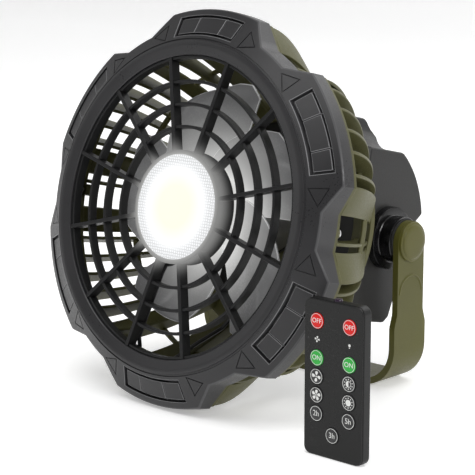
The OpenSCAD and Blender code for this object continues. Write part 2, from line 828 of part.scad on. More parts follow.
module motor_magnet() color([0.3, 0.3, 0.32]) in_fan()
    tube(motor_r - motor_wall - coil_w - air_gap, shaft_r, coil_front - coil_room,
        coil_l - 2 * coil_room);

module motor_screws() color(steel) in_fan() at_motor_screws()
    translate([0, 0, -housing_depth + head_sink]) rotate([180, 0, 0]) screw(spider_t);

module bezel_screws() color(steel) in_fan() at_notches()
    translate([0, screw_circle_r, -strip_back - pad_h]) rotate([180, 0, 0])
        translate([0, 0, screw_head_h]) screw(strip_t + pad_h + screw_bite);

// Blade section at radius fraction v and chord fraction u, on side s
function blade_point(u, v, s) =
    let (r = blade_in + (rotor_r - lookup(u, tip_drop) - blade_in) * v,
        arc = blade_arc_in + (blade_arc_out - blade_arc_in) * v,
        a = blade_start + blade_lean * v + (u - 0.5) * arc,
        pitch = pitch_root + (pitch_tip - pitch_root) * v,
        z = (0.5 - u) * min(hub_h - 4, 2 * r * sin(arc / 2) * tan(pitch) * blade_share)
            + blade_camber * sin(180 * u))
    [r * sin(a), r * cos(a), z + s * blade_t / 2];

module blade() {
    rows = blade_rows + 1;
    cols = blade_cols + 1;
    n = rows * cols;
    skin = [for (s = [1, -1]) for (i = [0 : blade_rows]) for (j = [0 : blade_cols])
        blade_point(j / blade_cols, i / blade_rows, s)];
    function at(s, i, j) = s * n + i * cols + j;
    faces = concat(
        [for (i = [0 : rows - 2]) for (j = [0 : cols - 2]) each [
            [at(0, i, j), at(0, i + 1, j + 1), at(0, i, j + 1)],
            [at(0, i, j), at(0, i + 1, j), at(0, i + 1, j + 1)],
            [at(1, i, j), at(1, i, j + 1), at(1, i + 1, j + 1)],
            [at(1, i, j), at(1, i + 1, j + 1), at(1, i + 1, j)]]],
        [for (i = [0 : rows - 2]) each [
            [at(0, i, 0), at(1, i, 0), at(1, i + 1, 0), at(0, i + 1, 0)],
            [at(0, i, cols - 1), at(0, i + 1, cols - 1), at(1, i + 1, cols - 1), at(1, i, cols - 1)]]],
        [for (j = [0 : cols - 2]) each [
            [at(0, 0, j), at(0, 0, j + 1), at(1, 0, j + 1), at(1, 0, j)],
            [at(0, rows - 1, j), at(1, rows - 1, j), at(1, rows - 1, j + 1),
                at(0, rows - 1, j + 1)]]]);
    polyhedron(points = skin, faces = faces);
}

module fan_rotor() color(smoke) in_fan() difference() {
    union() {
        difference() {
            disc(hub_r, -hub_front, hub_h);
            disc(hub_r - hub_wall, -hub_front - hub_wall, hub_h);
        }
        disc(shaft_r + 2 * hub_wall, -hub_front, hub_h - hub_wall);
        for (i = [0 : blades - 1]) rotate([0, 0, -i * 360 / blades])
            translate([0, 0, -rotor_depth]) blade();
    }
    disc(shaft_r, 0, hub_front + hub_h + 1);
}

module rotor_nut() color(steel) in_fan() difference() {
    disc(nut_r, -hub_front + nut_h, nut_h);
    disc(shaft_r, 0, hub_front + 1);
}

// ---------------------------------------------------------------- case

// Side profile of the case from the front, over the top and down the back, drawn in by t. The
// upper back is a shallow curve down to the rearmost edge, and the lower back slopes in.
function case_profile(t) = concat(
    [[case_front, -case_bottom + t], [case_front, case_top - t]],
    [for (i = [0 : back_steps]) let (v = i / back_steps, bulge = 4 * back_bulge * v * (1 - v))
        [back_high + (case_depth - back_high) * v + bulge - t,
            case_top + (back_peak_z - case_top) * v + bulge - t * (1 - v)]],
    [[panel_top_y - t, panel_top_z], [back_low - t, -case_bottom + case_chamfer],
        [back_low - case_chamfer - t, -case_bottom + t]]);

// Extrudes a profile of [depth, height] points across the head, hw to each side
module across(hw, points) translate([-hw, 0, 0]) rotate([90, 0, 90])
    linear_extrude(2 * hw) polygon(points);

// Cross profile of the raised block: flanks that run out into the case's top
function hump_flank(t, side) = [for (i = [0 : hump_steps]) let (a = 90 * i / hump_steps)
    [side * (hump_hw - t + hump_flare * (1 - cos(a))),
        case_top - t + (hump_h - hump_ease) * (1 - sin(a))]];
function hump_root(t, side) = [[side * (hump_hw - t), case_top - hump_h]];
function hump_top(t, side) = [[side * (hump_hw - t - 1), case_top + hump_h - t],
    [side * (hump_hw - t), case_top + hump_h - t - 1]];
function backwards(list) = [for (i = [len(list) - 1 : -1 : 0]) list[i]];
function hump_profile(t) = concat(hump_top(t, 1), hump_flank(t, 1), hump_root(t, 1),
    backwards(concat(hump_top(t, -1), hump_flank(t, -1), hump_root(t, -1))));

module hump(t) intersection() {
    translate([0, case_depth, 0]) rotate([90, 0, 0])
        linear_extrude(case_depth - case_front) polygon(hump_profile(t));
    across(case_hw, [[case_front - 1, case_top - hump_h], [case_front - 1, case_top + hump_h],
        [hump_depth - t, case_top + hump_h], [hump_depth + 8 - t, case_top + hump_h - 8],
        [hump_depth + 16 - t, case_top - 8], [hump_depth + 16 - t, case_top - hump_h]]);
    translate([0, 0, case_top - hump_h]) linear_extrude(2 * hump_h) polygon(concat(
        [for (side = [-1, 1]) [side * case_hw, case_front]],
        [[case_hw, hump_depth - 16], [hump_hw, hump_depth + 12], [-hump_hw, hump_depth + 12],
            [-case_hw, hump_depth - 16]]));
}

module battery_case() color(dark_grey) {
    case_shell();
    power_posts();
    panel_posts();
}

module case_shell() difference() {
    in_head() {
        across(case_hw, case_profile(0));
        hump(0);
    }
    in_head() {
        across(case_hw - case_wall, case_profile(case_wall));
        translate([-case_hw + case_wall, case_front - 1, -case_bottom + case_wall])
            cube([2 * (case_hw - case_wall), 2, case_bottom + case_top - 2 * case_wall]);
        translate([-hump_hw + case_wall, case_front + hump_front, case_top - case_wall - 1])
            cube([2 * (hump_hw - case_wall), hump_depth - case_front - hump_front - case_wall,
                hump_h + 1]);
        for (side = [-1, 1]) translate([side * (case_hw + 1), pivot_depth, 0])
            rotate([0, -side * 90, 0]) cylinder(r = bolt_r + running, h = case_wall + 2);
    }
    on_back(button_z) for (side = [-1, 1]) translate([side * button_x, 0, -case_wall - 2])
        cylinder(r = button_r + gap, h = case_wall + 4);
    on_back(button_z) translate([-gauge_w / 2, -gauge_h / 2, -case_wall - 2])
        cube([gauge_w, gauge_h, case_wall + 4]);
    on_back(port_z) port_cuts();
    power_place() translate([0, 0, -case_wall - 1]) cylinder(r = button_r + gap, h = case_wall + 2);
}

module rear_plate() color(dark_grey) difference() {
    in_head() translate([-case_hw, plate_front, -case_bottom])
        cube([2 * case_hw, plate_t, case_bottom + case_top]);
    in_fan() at_case_screws() disc(screw_r, -plate_front + 1, plate_t + 2);
    in_fan() lead_holes();
}

// The case's screws sit on four of the spider's arms
module at_case_screws() for (a = case_screw_clocks) rotate([0, 0, a])
    translate([0, case_screw_r, 0]) children();

module case_screws() color(steel) in_fan() at_case_screws()
    translate([0, 0, -housing_depth + spider_t + screw_head_h]) screw(spider_t + plate_t);

// ---------------------------------------------------------------- inside the case

// The row of cells, side by side
module cell_row(r) for (i = [0 : cells_across - 1])
    translate([(i - (cells_across - 1) / 2) * cell_pitch, cells_y, cells_z])
        cylinder(r = r, h = cell_l);

module battery_cells() color([0.25, 0.45, 0.62]) in_head() cell_row(cell_r);

// Trough on the case's floor that holds the cells' lower ends
module cell_cradle() color(black) in_head() difference() {
    translate([-cells_across * cell_pitch / 2 - 1, cradle_front, cells_z - cradle_t])
        cube([cells_across * cell_pitch + 2, cradle_t + cell_r, cell_l * cradle_share]);
    cell_row(cell_r + slip);
}

module control_board() color(board_green) in_head() {
    translate([-board_hw, board_y, -case_bottom + case_wall])
        cube([2 * board_hw, board_t, case_bottom - case_wall + board_top]);
    translate([-chip[0] / 2, board_y + board_t, board_top - chip[2]]) cube(chip);
}

// ---------------------------------------------------------------- controls

// A round push button whose cap stands over the surface at z = 0, with a stem that ends just
// above a switch on a board whose face lies at depth board_z
module push_button(board_z) {
    translate([0, 0, -button_foot + eps]) cylinder(r = button_r, h = button_foot + button_stand);
    translate([0, 0, -button_foot]) cylinder(r = button_r + button_lip, h = button_flange);
    translate([0, 0, -board_z + switch_h + button_travel + gap])
        cylinder(r = stem_r, h = board_z - switch_h - button_travel - gap - button_foot + 1);
}

module push_switch(board_z)
    translate([-switch_w / 2, -switch_w / 2, -board_z]) cube([switch_w, switch_w, switch_h]);

module power_place() in_head() translate([0, power_y, case_top + hump_h]) children();

module power_button() color(black) power_place() push_button(power_board_z);

module fan_button() color(black) on_back(button_z) translate([button_x, 0, 0])
    push_button(panel_board_z);

module light_button() color(black) on_back(button_z) translate([-button_x, 0, 0])
    push_button(panel_board_z);

// Switch board under the power button, hanging from two posts of the case
module power_board() color(board_green) power_place() {
    translate([-power_board_hw, -power_board_d / 2, -power_board_z - board_t])
        cube([2 * power_board_hw, power_board_d, board_t]);
    push_switch(power_board_z);
}

module power_posts() power_place() for (side = [-1, 1])
    translate([side * power_post_x, 0, -power_board_z])
        cylinder(r = post_r, h = power_board_z - case_wall + post_root);

// Board behind the sloping back, with the switches, the gauge's lights and the sockets
module panel_board() color(board_green) on_back(button_z) {
    translate([-panel_board_hw, -panel_span() - panel_board_down, -panel_board_z - board_t])
        cube([2 * panel_board_hw, panel_span() + panel_board_down + panel_board_up, board_t]);
    for (side = [-1, 1]) translate([side * button_x, 0, 0]) push_switch(panel_board_z);
}

// Distance from the buttons' row down to the sockets' row, along the sloping back
function panel_span() = (button_z - port_z) / cos(panel_a);

module panel_posts() on_back(button_z) for (x = [-1, 1])
    for (y = [-panel_span() - panel_board_down + panel_post_in, panel_board_up - panel_post_in])
        translate([x * (panel_board_hw - panel_post_in), y, -panel_board_z])
            cylinder(r = post_r, h = panel_board_z - case_wall + post_root);

module battery_gauge() color([0.85, 0.9, 0.88]) on_back(button_z)
    translate([-gauge_w / 2, -gauge_h / 2, -case_wall]) cube([gauge_w, gauge_h, case_wall]);

// The openings for the two power sockets and the shallow seat of their cover
module port_cuts() {
    socket_block(usb_a, usb_a_x, 0, panel_board_z, case_wall);
    socket_block(usb_c, usb_c_x, 0, panel_board_z, case_wall);
    translate([-cover_w / 2 - gap, -cover_h / 2 - gap, -cover_t / 2])
        cube([cover_w + 2 * gap, cover_h + 2 * gap, cover_t]);
}

// A block over a socket's mouth, drawn in by t, from depth deep up to height high
module socket_block(size, x, t, deep, high) translate([x + t, -size[1] / 2 + t, -deep])
    cube([size[0] - 2 * t, size[1] - 2 * t, deep + high]);

// A metal socket that stands on the panel board, with its contact tongue
module socket(size, x) {
    difference() {
        socket_block(size, x, slip, panel_board_z, -cover_t / 2 - gap);
        socket_block(size, x, slip + socket_wall, panel_board_z - socket_floor, case_wall);
    }
    translate([x + size[0] / 2 * (1 - tongue[0]), -size[1] / 2 * tongue[1],
        -panel_board_z + socket_floor - eps])
        cube([size[0] * tongue[0], size[1] * tongue[1], panel_board_z - socket_floor - tongue_in]);
}

module usb_sockets() color(steel) on_back(port_z) {
    socket(usb_a, usb_a_x);
    socket(usb_c, usb_c_x);
}

// Rubber cover over the sockets, turning on two studs at its lower edge
module port_cover() color(black) on_back(port_z) {
    translate([-cover_w / 2, -cover_h / 2 + cover_hinge_r, -cover_t / 2 + gap])
        cube([cover_w, cover_h - cover_hinge_r, cover_t]);
    translate([-cover_w / 2, -cover_h / 2 + cover_hinge_r, gap]) rotate([0, 90, 0])
        cylinder(r = cover_hinge_r, h = cover_w);
    translate([-cover_tab[0] / 2, cover_h / 2 - 1, gap])
        cube([cover_tab[0], cover_tab[1], cover_t / 2]);
}

// ---------------------------------------------------------------- stand

module sides() for (side = [0, 1]) mirror([side, 0, 0]) children();

// Along the pivots' axis: x outwards on the right-hand side
module along_pivot(x, r, h) translate([x, 0, pivot_h]) rotate([0, 90, 0]) cylinder(r = r, h = h);

module pivot_bosses() color(black) sides() difference() {
    union() {
        along_pivot(case_hw, boss_r, boss_step);
        along_pivot(case_hw, boss_neck_r, boss_end - case_hw);
    }
    along_pivot(case_hw - 1, bolt_r + running, boss_end - case_hw + 2);
}

module friction_washers() color([0.35, 0.35, 0.37]) sides() difference() {
    along_pivot(boss_end, boss_neck_r - 1, washer_t);
    along_pivot(boss_end - 1, bolt_r + running, washer_t + 2);
}

// Bolts fixed in the legs; their heads turn just inside the case's walls
module pivot_bolts() color(steel) sides() {
    along_pivot(bolt_head_x, bolt_r, stand_w / 2 - bolt_head_x);
    along_pivot(bolt_head_x, bolt_head_r, bolt_head_t);
}

// The strip's outline seen from the front, drawn in by t
module strip_outline(t) {
    translate([-stand_w / 2 + bend_r, t]) square([stand_w - 2 * bend_r, bend_r]);
    translate([-stand_w / 2 + t, bend_r])
        square([stand_w - 2 * t, pivot_h + leg_w - bend_r]);
    for (side = [-1, 1]) translate([side * (stand_w / 2 - bend_r), bend_r])
        circle(r = bend_r - t);
}

// The legs' outline seen from the side: narrow at the pivot and wide at the foot
module leg_outline() {
    polygon([[-foot_w / 2, -1], [foot_w / 2, -1], [foot_w / 2, flare_z],
        [leg_w / 2, flare_z + flare_h], [leg_w / 2, pivot_h], [-leg_w / 2, pivot_h],
        [-leg_w / 2, flare_z + flare_h], [-foot_w / 2, flare_z]]);
    translate([0, pivot_h]) circle(r = leg_w / 2);
}

module stand_bracket() color(olive) difference() {
    union() {
        intersection() {
            translate([0, foot_w, 0]) rotate([90, 0, 0]) linear_extrude(2 * foot_w) difference() {
                strip_outline(0);
                strip_outline(stand_t);
            }
            translate([-stand_w, 0, 0]) rotate([90, 0, 90]) linear_extrude(2 * stand_w)
                leg_outline();
        }
        sides() translate([stand_w / 2 - arch_root, 0, pivot_h - arch_drop]) rotate([90, 0, 90])
            rotate_extrude(angle = 180) translate([arch_r - arch_w / 2, 0])
                square([arch_w, arch_h + arch_root]);
    }
    sides() along_pivot(inner_hw - 1, bolt_r, stand_t + 2);
}

module pivot_caps() color(olive) sides() translate([stand_w / 2, 0, pivot_h]) rotate([0, 90, 0])
    rotate_extrude() polygon(concat([[0, 0], [cap_r, 0]], [for (i = [0 : 4])
        [cap_r - cap_edge * (1 - cos(22.5 * i)), cap_h - cap_edge * (1 - sin(22.5 * i))]],
        [[0, cap_h]]));

// ---------------------------------------------------------------- remote

// The remote's outline with round corners, drawn in by t
module card(t) {
    r = remote_corner - t;
    translate([-remote_w / 2 + t, remote_corner]) square([remote_w - 2 * t, remote_h
        - 2 * remote_corner]);
    translate([-remote_w / 2 + remote_corner, t]) square([remote_w - 2 * remote_corner,
        remote_h - 2 * t]);
    for (x = [-1, 1]) for (y = [0, 1])
        translate([x * (remote_w / 2 - remote_corner), remote_corner
            + y * (remote_h - 2 * remote_corner)]) circle(r = r);
}

module remote_shell() color(dark_grey) in_remote() difference() {
    linear_extrude(remote_t - face_t) card(0);
    translate([0, 0, remote_floor]) linear_extrude(remote_t) card(remote_wall);
    translate([-tray_w / 2 - play, -1, tray_z - play])
        cube([tray_w + 2 * play, remote_wall + 2, tray_t + 2 * play]);
    translate([0, remote_h - remote_wall - 1, emitter_z]) rotate([-90, 0, 0])
        cylinder(r = emitter_r + slip, h = remote_wall + 2);
}

module key_cut(x, y) translate([x, y, remote_t - face_t - 1])
    cylinder(r = key_r + play, h = face_t + 2);

module remote_face() color(black) in_remote() difference() {
    translate([0, 0, remote_t - face_t]) linear_extrude(face_t) card(face_in);
    for (row = [-1 : key_count - 1]) for (x = [-1, 1]) key_cut(x * key_pitch_x / 2, key_y(row));
    key_cut(0, key_y(key_count));
}

module remote_board() color(board_green) in_remote()
    translate([0, 0, remote_board_top - remote_board_t]) linear_extrude(remote_board_t)
        card(remote_wall + play);

module ir_emitter() color([0.2, 0.1, 0.25, 0.8]) in_remote()
    translate([0, remote_h - remote_wall, emitter_z]) rotate([-90, 0, 0]) {
        cylinder(r = emitter_r, h = emitter_l);
        translate([0, 0, emitter_l]) intersection() {
            sphere(r = emitter_r, $fn = 48);
            cylinder(r = emitter_r + 1, h = emitter_r - 1);
        }
    }

module battery_tray() color(dark_grey) in_remote() difference() {
    translate([-tray_w / 2, 0, tray_z]) cube([tray_w, tray_h, tray_t]);
    translate([0, coin_y, tray_z + tray_floor]) cylinder(r = coin_r + slip, h = tray_t);
}

module coin_cell() color(steel) in_remote()
    translate([0, coin_y, tray_z + tray_floor]) cylinder(r = coin_r, h = coin_h);

// A key: a flat cap that stands over the face and reaches down to just over the board
module remote_key(x, y, tint) color(tint) in_remote()
    translate([x, y, remote_t - face_t - key_sink])
        cylinder(r = key_r, h = face_t + key_sink + key_rise);

// Height of a row of keys over the remote's foot; row -1 is the top one
function key_y(row) = remote_h - (row < 0 ? key_top_row : key_on_row + row * key_step);

module key_off_fan() remote_key(key_left, key_y(-1), key_red);
module key_off_light() remote_key(key_right, key_y(-1), key_red);
module key_on_fan() remote_key(key_left, key_y(0), key_green);
module key_on_light() remote_key(key_right, key_y(0), key_green);
module key_speed_low() remote_key(key_left, key_y(1), black);
module key_speed_high() remote_key(key_left, key_y(2), black);
module key_dim() remote_key(key_right, key_y(1), black);
module key_bright() remote_key(key_right, key_y(2), black);
module key_timer_2h() remote_key(key_left, key_y(3), black);
module key_timer_5h() remote_key(key_right, key_y(3), black);
module key_timer_3h() remote_key(0, key_y(key_count), black);

// ---------------------------------------------------------------- nodes

front_bezel();
front_grille();
lamp_lens();
lamp_reflector();
led_board();
lamp_cup();
ir_receiver();
rear_housing();
housing_fins();
motor_case();
motor_end_cap();
motor_bearings();
motor_stator();
motor_shaft();
motor_magnet();
fan_rotor();
rotor_nut();
motor_screws();
bezel_screws();
rear_plate();
battery_case();
case_screws();
battery_cells();
cell_cradle();
control_board();
power_button();
fan_button();
light_button();
battery_gauge();
power_board();
panel_board();
lamp_lead();
motor_lead();
usb_sockets();
port_cover();
pivot_bosses();
pivot_bolts();
friction_washers();
stand_bracket();
pivot_caps();
remote_shell();
remote_face();
remote_board();
ir_emitter();
battery_tray();
coin_cell();
key_off_fan();
key_off_light();
key_on_fan();
key_on_light();
key_speed_low();
key_speed_high();
key_dim();
key_bright();
key_timer_2h();
key_timer_5h();
key_timer_3h();
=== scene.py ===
import json
import math

import bmesh
import bpy
from mathutils import Matrix, Vector


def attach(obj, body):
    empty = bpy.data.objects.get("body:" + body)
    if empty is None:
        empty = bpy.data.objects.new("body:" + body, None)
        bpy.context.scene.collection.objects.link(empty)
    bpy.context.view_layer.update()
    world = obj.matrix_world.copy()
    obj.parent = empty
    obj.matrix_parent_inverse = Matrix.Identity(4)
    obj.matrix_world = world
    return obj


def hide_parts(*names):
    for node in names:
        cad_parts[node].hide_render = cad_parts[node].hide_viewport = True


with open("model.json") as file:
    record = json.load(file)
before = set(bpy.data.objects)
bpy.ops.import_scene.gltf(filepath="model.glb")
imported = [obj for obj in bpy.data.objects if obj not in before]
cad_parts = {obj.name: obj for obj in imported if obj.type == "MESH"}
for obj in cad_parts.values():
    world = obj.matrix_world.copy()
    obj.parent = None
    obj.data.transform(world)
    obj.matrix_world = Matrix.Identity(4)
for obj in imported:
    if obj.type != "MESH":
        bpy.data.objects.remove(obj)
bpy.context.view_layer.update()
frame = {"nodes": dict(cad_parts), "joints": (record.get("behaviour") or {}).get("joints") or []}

# Camera, floor and studio light ------------------------------------------------------------
# The fan is seen from its right front, a little from above. It stands on a pale floor that
# runs up behind it, under one large soft light, with lights to its right, left and back.
mm = 0.001
joints = {j["name"]: j for j in frame["joints"]}
spin = joints["rotor_spin"]
stream = Vector(spin["axis"]).normalized()
rotor_depth = 33 * mm
opening_r = 88 * mm


def about(axis, angle, size=3):
    """A turn about an axis, in degrees."""
    return Matrix.Rotation(math.radians(angle), size, axis)


def put(name, data):
    """A new object in the scene."""
    thing = bpy.data.objects.new(name, data)
    bpy.context.scene.collection.objects.link(thing)
    return thing


# Places: fan has z along the air stream and y towards 12 o'clock, with its origin in the
# middle of the opening. head has x right, y behind the opening and z towards 12 o'clock.
fan = (Matrix.Translation(Vector(spin["pos_m"]) + rotor_depth * stream)
       @ stream.to_track_quat("Z", "Y").to_matrix().to_4x4())
head = fan @ about("X", -90, 4)

# The camera's own axes, and its place along them from the middle of the opening, in radii
# of the opening.
view_right = Vector((0.7325, 0.681, 0))
view_up = Vector((-0.1372, 0.1476, 0.9796))
view_back = Vector((0.667, -0.7173, 0.2015))
camera_place = (0.405, -0.2014, 11.63)
camera_data = bpy.data.cameras.new("camera")
camera_data.sensor_width = 36
camera_data.lens = 135
camera_data.clip_end = 20
camera = put("camera", camera_data)
camera.location = fan.translation + opening_r * (
    camera_place[0] * view_right + camera_place[1] * view_up + camera_place[2] * view_back)
camera.rotation_mode = "QUATERNION"
camera.rotation_quaternion = Matrix((view_right, view_up, view_back)).transposed().to_quaternion()
bpy.context.scene.camera = camera

floor_size = 8
floor_back = 1.6
cove_r = 0.8


def verts_in(geometry):
    return [g for g in geometry if isinstance(g, bmesh.types.BMVert)]


def edges_in(geometry):
    return [g for g in geometry if isinstance(g, bmesh.types.BMEdge)]


def face_out(mesh):
    """Turns every face outwards."""
    bmesh.ops.recalc_face_normals(mesh, faces=mesh.faces)


def mesh_data(name, mesh):
    """Keeps a finished mesh under a name."""
    data = bpy.data.meshes.new(name)
    mesh.to_mesh(data)
    mesh.free()
    return data


def pull_edges(mesh, edges, way):
    """Extrudes edges and moves the new ones."""
    pulled = bmesh.ops.extrude_edge_only(mesh, edges=edges)
    bmesh.ops.translate(mesh, vec=way, verts=verts_in(pulled["geom"]))


floor_mesh = bmesh.new()
back_edge = floor_mesh.edges.new([floor_mesh.verts.new((x, floor_back, 0))
                                  for x in (-floor_size, floor_size)])
bend = bmesh.ops.spin(floor_mesh, geom=[back_edge, *back_edge.verts],
                      cent=(0, floor_back, cove_r), axis=(1, 0, 0), angle=math.radians(90),
                      steps=16, use_merge=False)
pull_edges(floor_mesh, edges_in(bend["geom_last"]), (0, 0, floor_size))
pull_edges(floor_mesh, [back_edge], (0, -2 * floor_size, 0))
face_out(floor_mesh)
floor_data = mesh_data("floor", floor_mesh)
floor_data.shade_smooth()
floor = put("floor", floor_data)


def fill(node, **values):
    """Sets a node's own inputs. An input's name has low lines for its blanks."""
    for name, value in values.items():
        node.inputs[name.replace("_", " ")].default_value = value


def new_finish(name, **values):
    """A material, its node tree and its surface shader with plain values filled in."""
    finish = bpy.data.materials.new(name)
    finish.use_nodes = True
    shader = finish.node_tree.nodes["Principled BSDF"]
    fill(shader, **values)
    return finish, finish.node_tree, shader


floor_data.materials.append(new_finish(
    "pale_floor", Base_Color=(0.9, 0.9, 0.9, 1), Roughness=0.75,
    Emission_Color=(1, 1, 1, 1), Emission_Strength=0.35)[0])


def softbox(name, place, size, power):
    """A square area light that shines at the middle of the fan."""
    data = bpy.data.lights.new(name, "AREA")
    data.size = size
    data.energy = power
    lamp = put(name, data)
    lamp.location = place
    lamp.rotation_mode = "QUATERNION"
    lamp.rotation_quaternion = (fan.translation - Vector(place)).to_track_quat("-Z", "Y")


softbox("key_light", (0.1, -0.8, 1.8), 1.3, 17)
softbox("right_light", (1.7, -0.2, 0.92), 0.5, 11)
softbox("left_light", (-1.5, -0.9, 0.9), 1.2, 2.5)
softbox("back_light", (0.3, 1.2, 1.5), 1.2, 9)
world = bpy.data.worlds.new("studio")
world.use_nodes = True
fill(world.node_tree.nodes["Background"], Color=(1, 1, 1, 1), Strength=0.3)
bpy.context.scene.world = world
bpy.context.scene.view_settings.view_transform = "Standard"

# Front bezel -------------------------------------------------------------------------------
# A lobed ring moulded in black ABS and fixed to the housing by six screws from behind. Each
# lobe has a recess with three flat blocks, and a triangular groove at either end. Its bevelled
# edges carry a painted highlight, a lighter tone.
hair = 0.01 * mm
bump_depth = 0.3 * mm
lobes = 6
lobe_pitch = 360 / lobes
bezel_r = 116 * mm
notch_drop = 10.5 * mm
lobe_half = 17
notch_half = 5.5
rim_w = 7 * mm
rim_rise = 1.8 * mm
flange_set = 9 * mm
bezel_depth = 18 * mm
bezel_wall = 3 * mm
duct_depth = 8 * mm
crest_r = opening_r + rim_w
flange_slope = (rim_rise + flange_set) / (bezel_r - crest_r)
groove = (1.4 * mm, 2.2 * mm)
groove_drop = 0.6 * mm
stretch_r = crest_r + 2.6 * mm
recess = (crest_r + 4.5 * mm, bezel_r - 4 * mm)
recess_half = 13
recess_drop = 2.3 * mm
recess_slope = 0.4 * mm
recess_channel = 1.0 * mm
block_ends = (-recess_half, -4.8, 5.8, recess_half)
block_gap = 0.3 * mm
block_rise = 1.4 * mm
mark_corners = ((8.4 * mm, 23), (14.4 * mm, 17.3), (3 * mm, 16.8))
mark_w = 0.6 * mm
mark_cut_h = 4 * mm
recess_edge = 0.3 * mm
outline_edge = 0.9 * mm


def polar(r, clock, z=0.0):
    """A point at radius r and a clock angle in degrees, in fan coordinates."""
    a = math.radians(clock)
    return Vector((r * math.sin(a), r * math.cos(a), z))


def clock_of(point):
    """A point's clock angle in degrees."""
    return math.degrees(math.atan2(point.x, point.y))


def lobe_angle(clock):
    """How far a clock angle lies from the middle of its lobe."""
    return abs((clock + lobe_pitch / 2) % lobe_pitch - lobe_pitch / 2)


def outline_r(clock, tip, drop):
    """Radius of the lobed outline at a clock angle: an arc on each lobe and on each notch's
    floor, and a straight flank between them."""
    a = lobe_angle(clock)
    if a <= lobe_half:
        return tip
    if a >= lobe_pitch / 2 - notch_half:
        return tip - drop
    start = polar(tip, lobe_half)
    flank = polar(tip - drop, lobe_pitch / 2 - notch_half) - start
    way = polar(1, a)
    return abs(start.cross(flank).z) / abs(way.cross(flank).z)


def flange_z(r):
    """Height of the flange's surface at radius r."""
    return rim_rise - (r - crest_r) * flange_slope


def whole(mesh):
    return mesh.verts[:] + mesh.edges[:] + mesh.faces[:]


def draw_line(mesh, points, closed=False):
    """Vertices and edges along a row of points."""
    verts = [mesh.verts.new(p) for p in points]
    edges = [mesh.edges.new(pair) for pair in zip(verts, verts[1:])]
    if closed:
        edges.append(mesh.edges.new((verts[-1], verts[0])))
    return verts + edges


def turn(mesh, geometry, clocks, steps):
    """Spins a line about z over several spans of clock angle, each in its own steps."""
    for start, end, count in zip(clocks, clocks[1:], steps):
        swept = bmesh.ops.spin(mesh, geom=geometry, axis=(0, 0, 1), cent=(0, 0, 0),
                               angle=math.radians(start - end), steps=count)
        geometry = swept["geom_last"]


def copy_round(mesh, count, phase=0.0):
    """Turns a whole mesh to a phase and repeats it count times about z."""
    bmesh.ops.rotate(mesh, verts=mesh.verts, matrix=about("Z", -phase))
    copy_on(mesh, count, 360 / count)


def copy_on(mesh, count, step):
    """Repeats a whole mesh about z until there are count of it, a step of degrees apart."""
    first = whole(mesh)
    for i in range(1, count):
        again = bmesh.ops.duplicate(mesh, geom=first)
        bmesh.ops.rotate(mesh, verts=verts_in(again["geom"]), matrix=about("Z", -i * step))


def pull_faces(mesh, faces, way):
    """Extrudes faces and moves the new ones."""
    pulled = bmesh.ops.extrude_face_region(mesh, geom=faces)
    bmesh.ops.translate(mesh, vec=way, verts=verts_in(pulled["geom"]))


def seal(mesh, reach=hair):
    """Merges doubles and turns every face outwards."""
    bmesh.ops.remove_doubles(mesh, verts=mesh.verts, dist=reach)
    face_out(mesh)


def shape(name, mesh, place, finish, rounding=0.0, segments=2, crease=32):
    """Puts a finished mesh in its place and gives its sharp edges a small round."""
    mesh.transform(place)
    data = mesh_data(name, mesh)
    data.shade_smooth()
    data.set_sharp_from_angle(angle=math.radians(crease))
    data.materials.append(finish)
    piece = put(name, data)
    if rounding:
        bevel = piece.modifiers.new("rounding", "BEVEL")
        bevel.width = rounding
        bevel.segments = segments
        bevel.limit_method = "ANGLE"
        bevel.angle_limit = math.radians(crease)
        bevel.harden_normals = True
        bevel.use_clamp_overlap = True
    return piece


def as_mesh(thing):
    """The mesh that an object makes with its live modifiers."""
    bpy.context.view_layer.update()
    return bpy.data.meshes.new_from_object(
        thing.evaluated_get(bpy.context.evaluated_depsgraph_get()))


def carve(piece, tool_mesh, how="DIFFERENCE"):
    """Cuts or joins a second mesh, drawn in the same place, and keeps the result."""
    tool = put("tool", mesh_data("tool", tool_mesh))
    step = piece.modifiers.new("carve", "BOOLEAN")
    step.object = tool
    step.operation = how
    step.solver = "EXACT"
    while piece.modifiers[0] != step:
        piece.modifiers.move(piece.modifiers.find(step.name), 0)
    others = [m for m in piece.modifiers if m != step]
    for other in others:
        other.show_viewport = False
    result = as_mesh(piece)
    piece.modifiers.remove(step)
    for other in others:
        other.show_viewport = True
    piece.data = result
    bpy.data.objects.remove(tool)


def shade_evenly(piece):
    """Keeps the sharp edges of a cut mesh crisp and its flat faces flat."""
    piece.data.set_sharp_from_angle(angle=math.radians(32))
    even = piece.modifiers.new("even_shading", "WEIGHTED_NORMAL")
    even.keep_sharp = True


def node_with(tree, kind, **values):
    """A shader node with its settings filled in, and its inputs, which have a capital."""
    node = tree.nodes.new(kind)
    for key, value in values.items():
        if key[0].isupper():
            fill(node, **{key: value})
        else:
            setattr(node, key, value)
    return node


def ramp(tree, source, low, high, out_low=0.0, out_high=1.0):
    """A value taken from one range to another and held at its ends."""
    node = node_with(tree, "ShaderNodeMapRange", From_Min=low, From_Max=high, To_Min=out_low,
                     To_Max=out_high)
    tree.links.new(source, node.inputs["Value"])
    return node.outputs["Result"]


def reckon(tree, operation, *terms):
    """A sum, product or power of two values, of which the second may be a plain number."""
    node = node_with(tree, "ShaderNodeMath", operation=operation)
    for term, entry in zip(terms, node.inputs):
        if isinstance(term, bpy.types.NodeSocket):
            tree.links.new(term, entry)
        else:
            entry.default_value = term
    return node.outputs["Value"]


def noise(tree, scale, detail):
    """Noise that lies fixed in the piece."""
    node = node_with(tree, "ShaderNodeTexNoise", Scale=scale, Detail=detail)
    place = tree.nodes.new("ShaderNodeTexCoord")
    tree.links.new(place.outputs["Object"], node.inputs["Vector"])
    return node.outputs["Fac"]


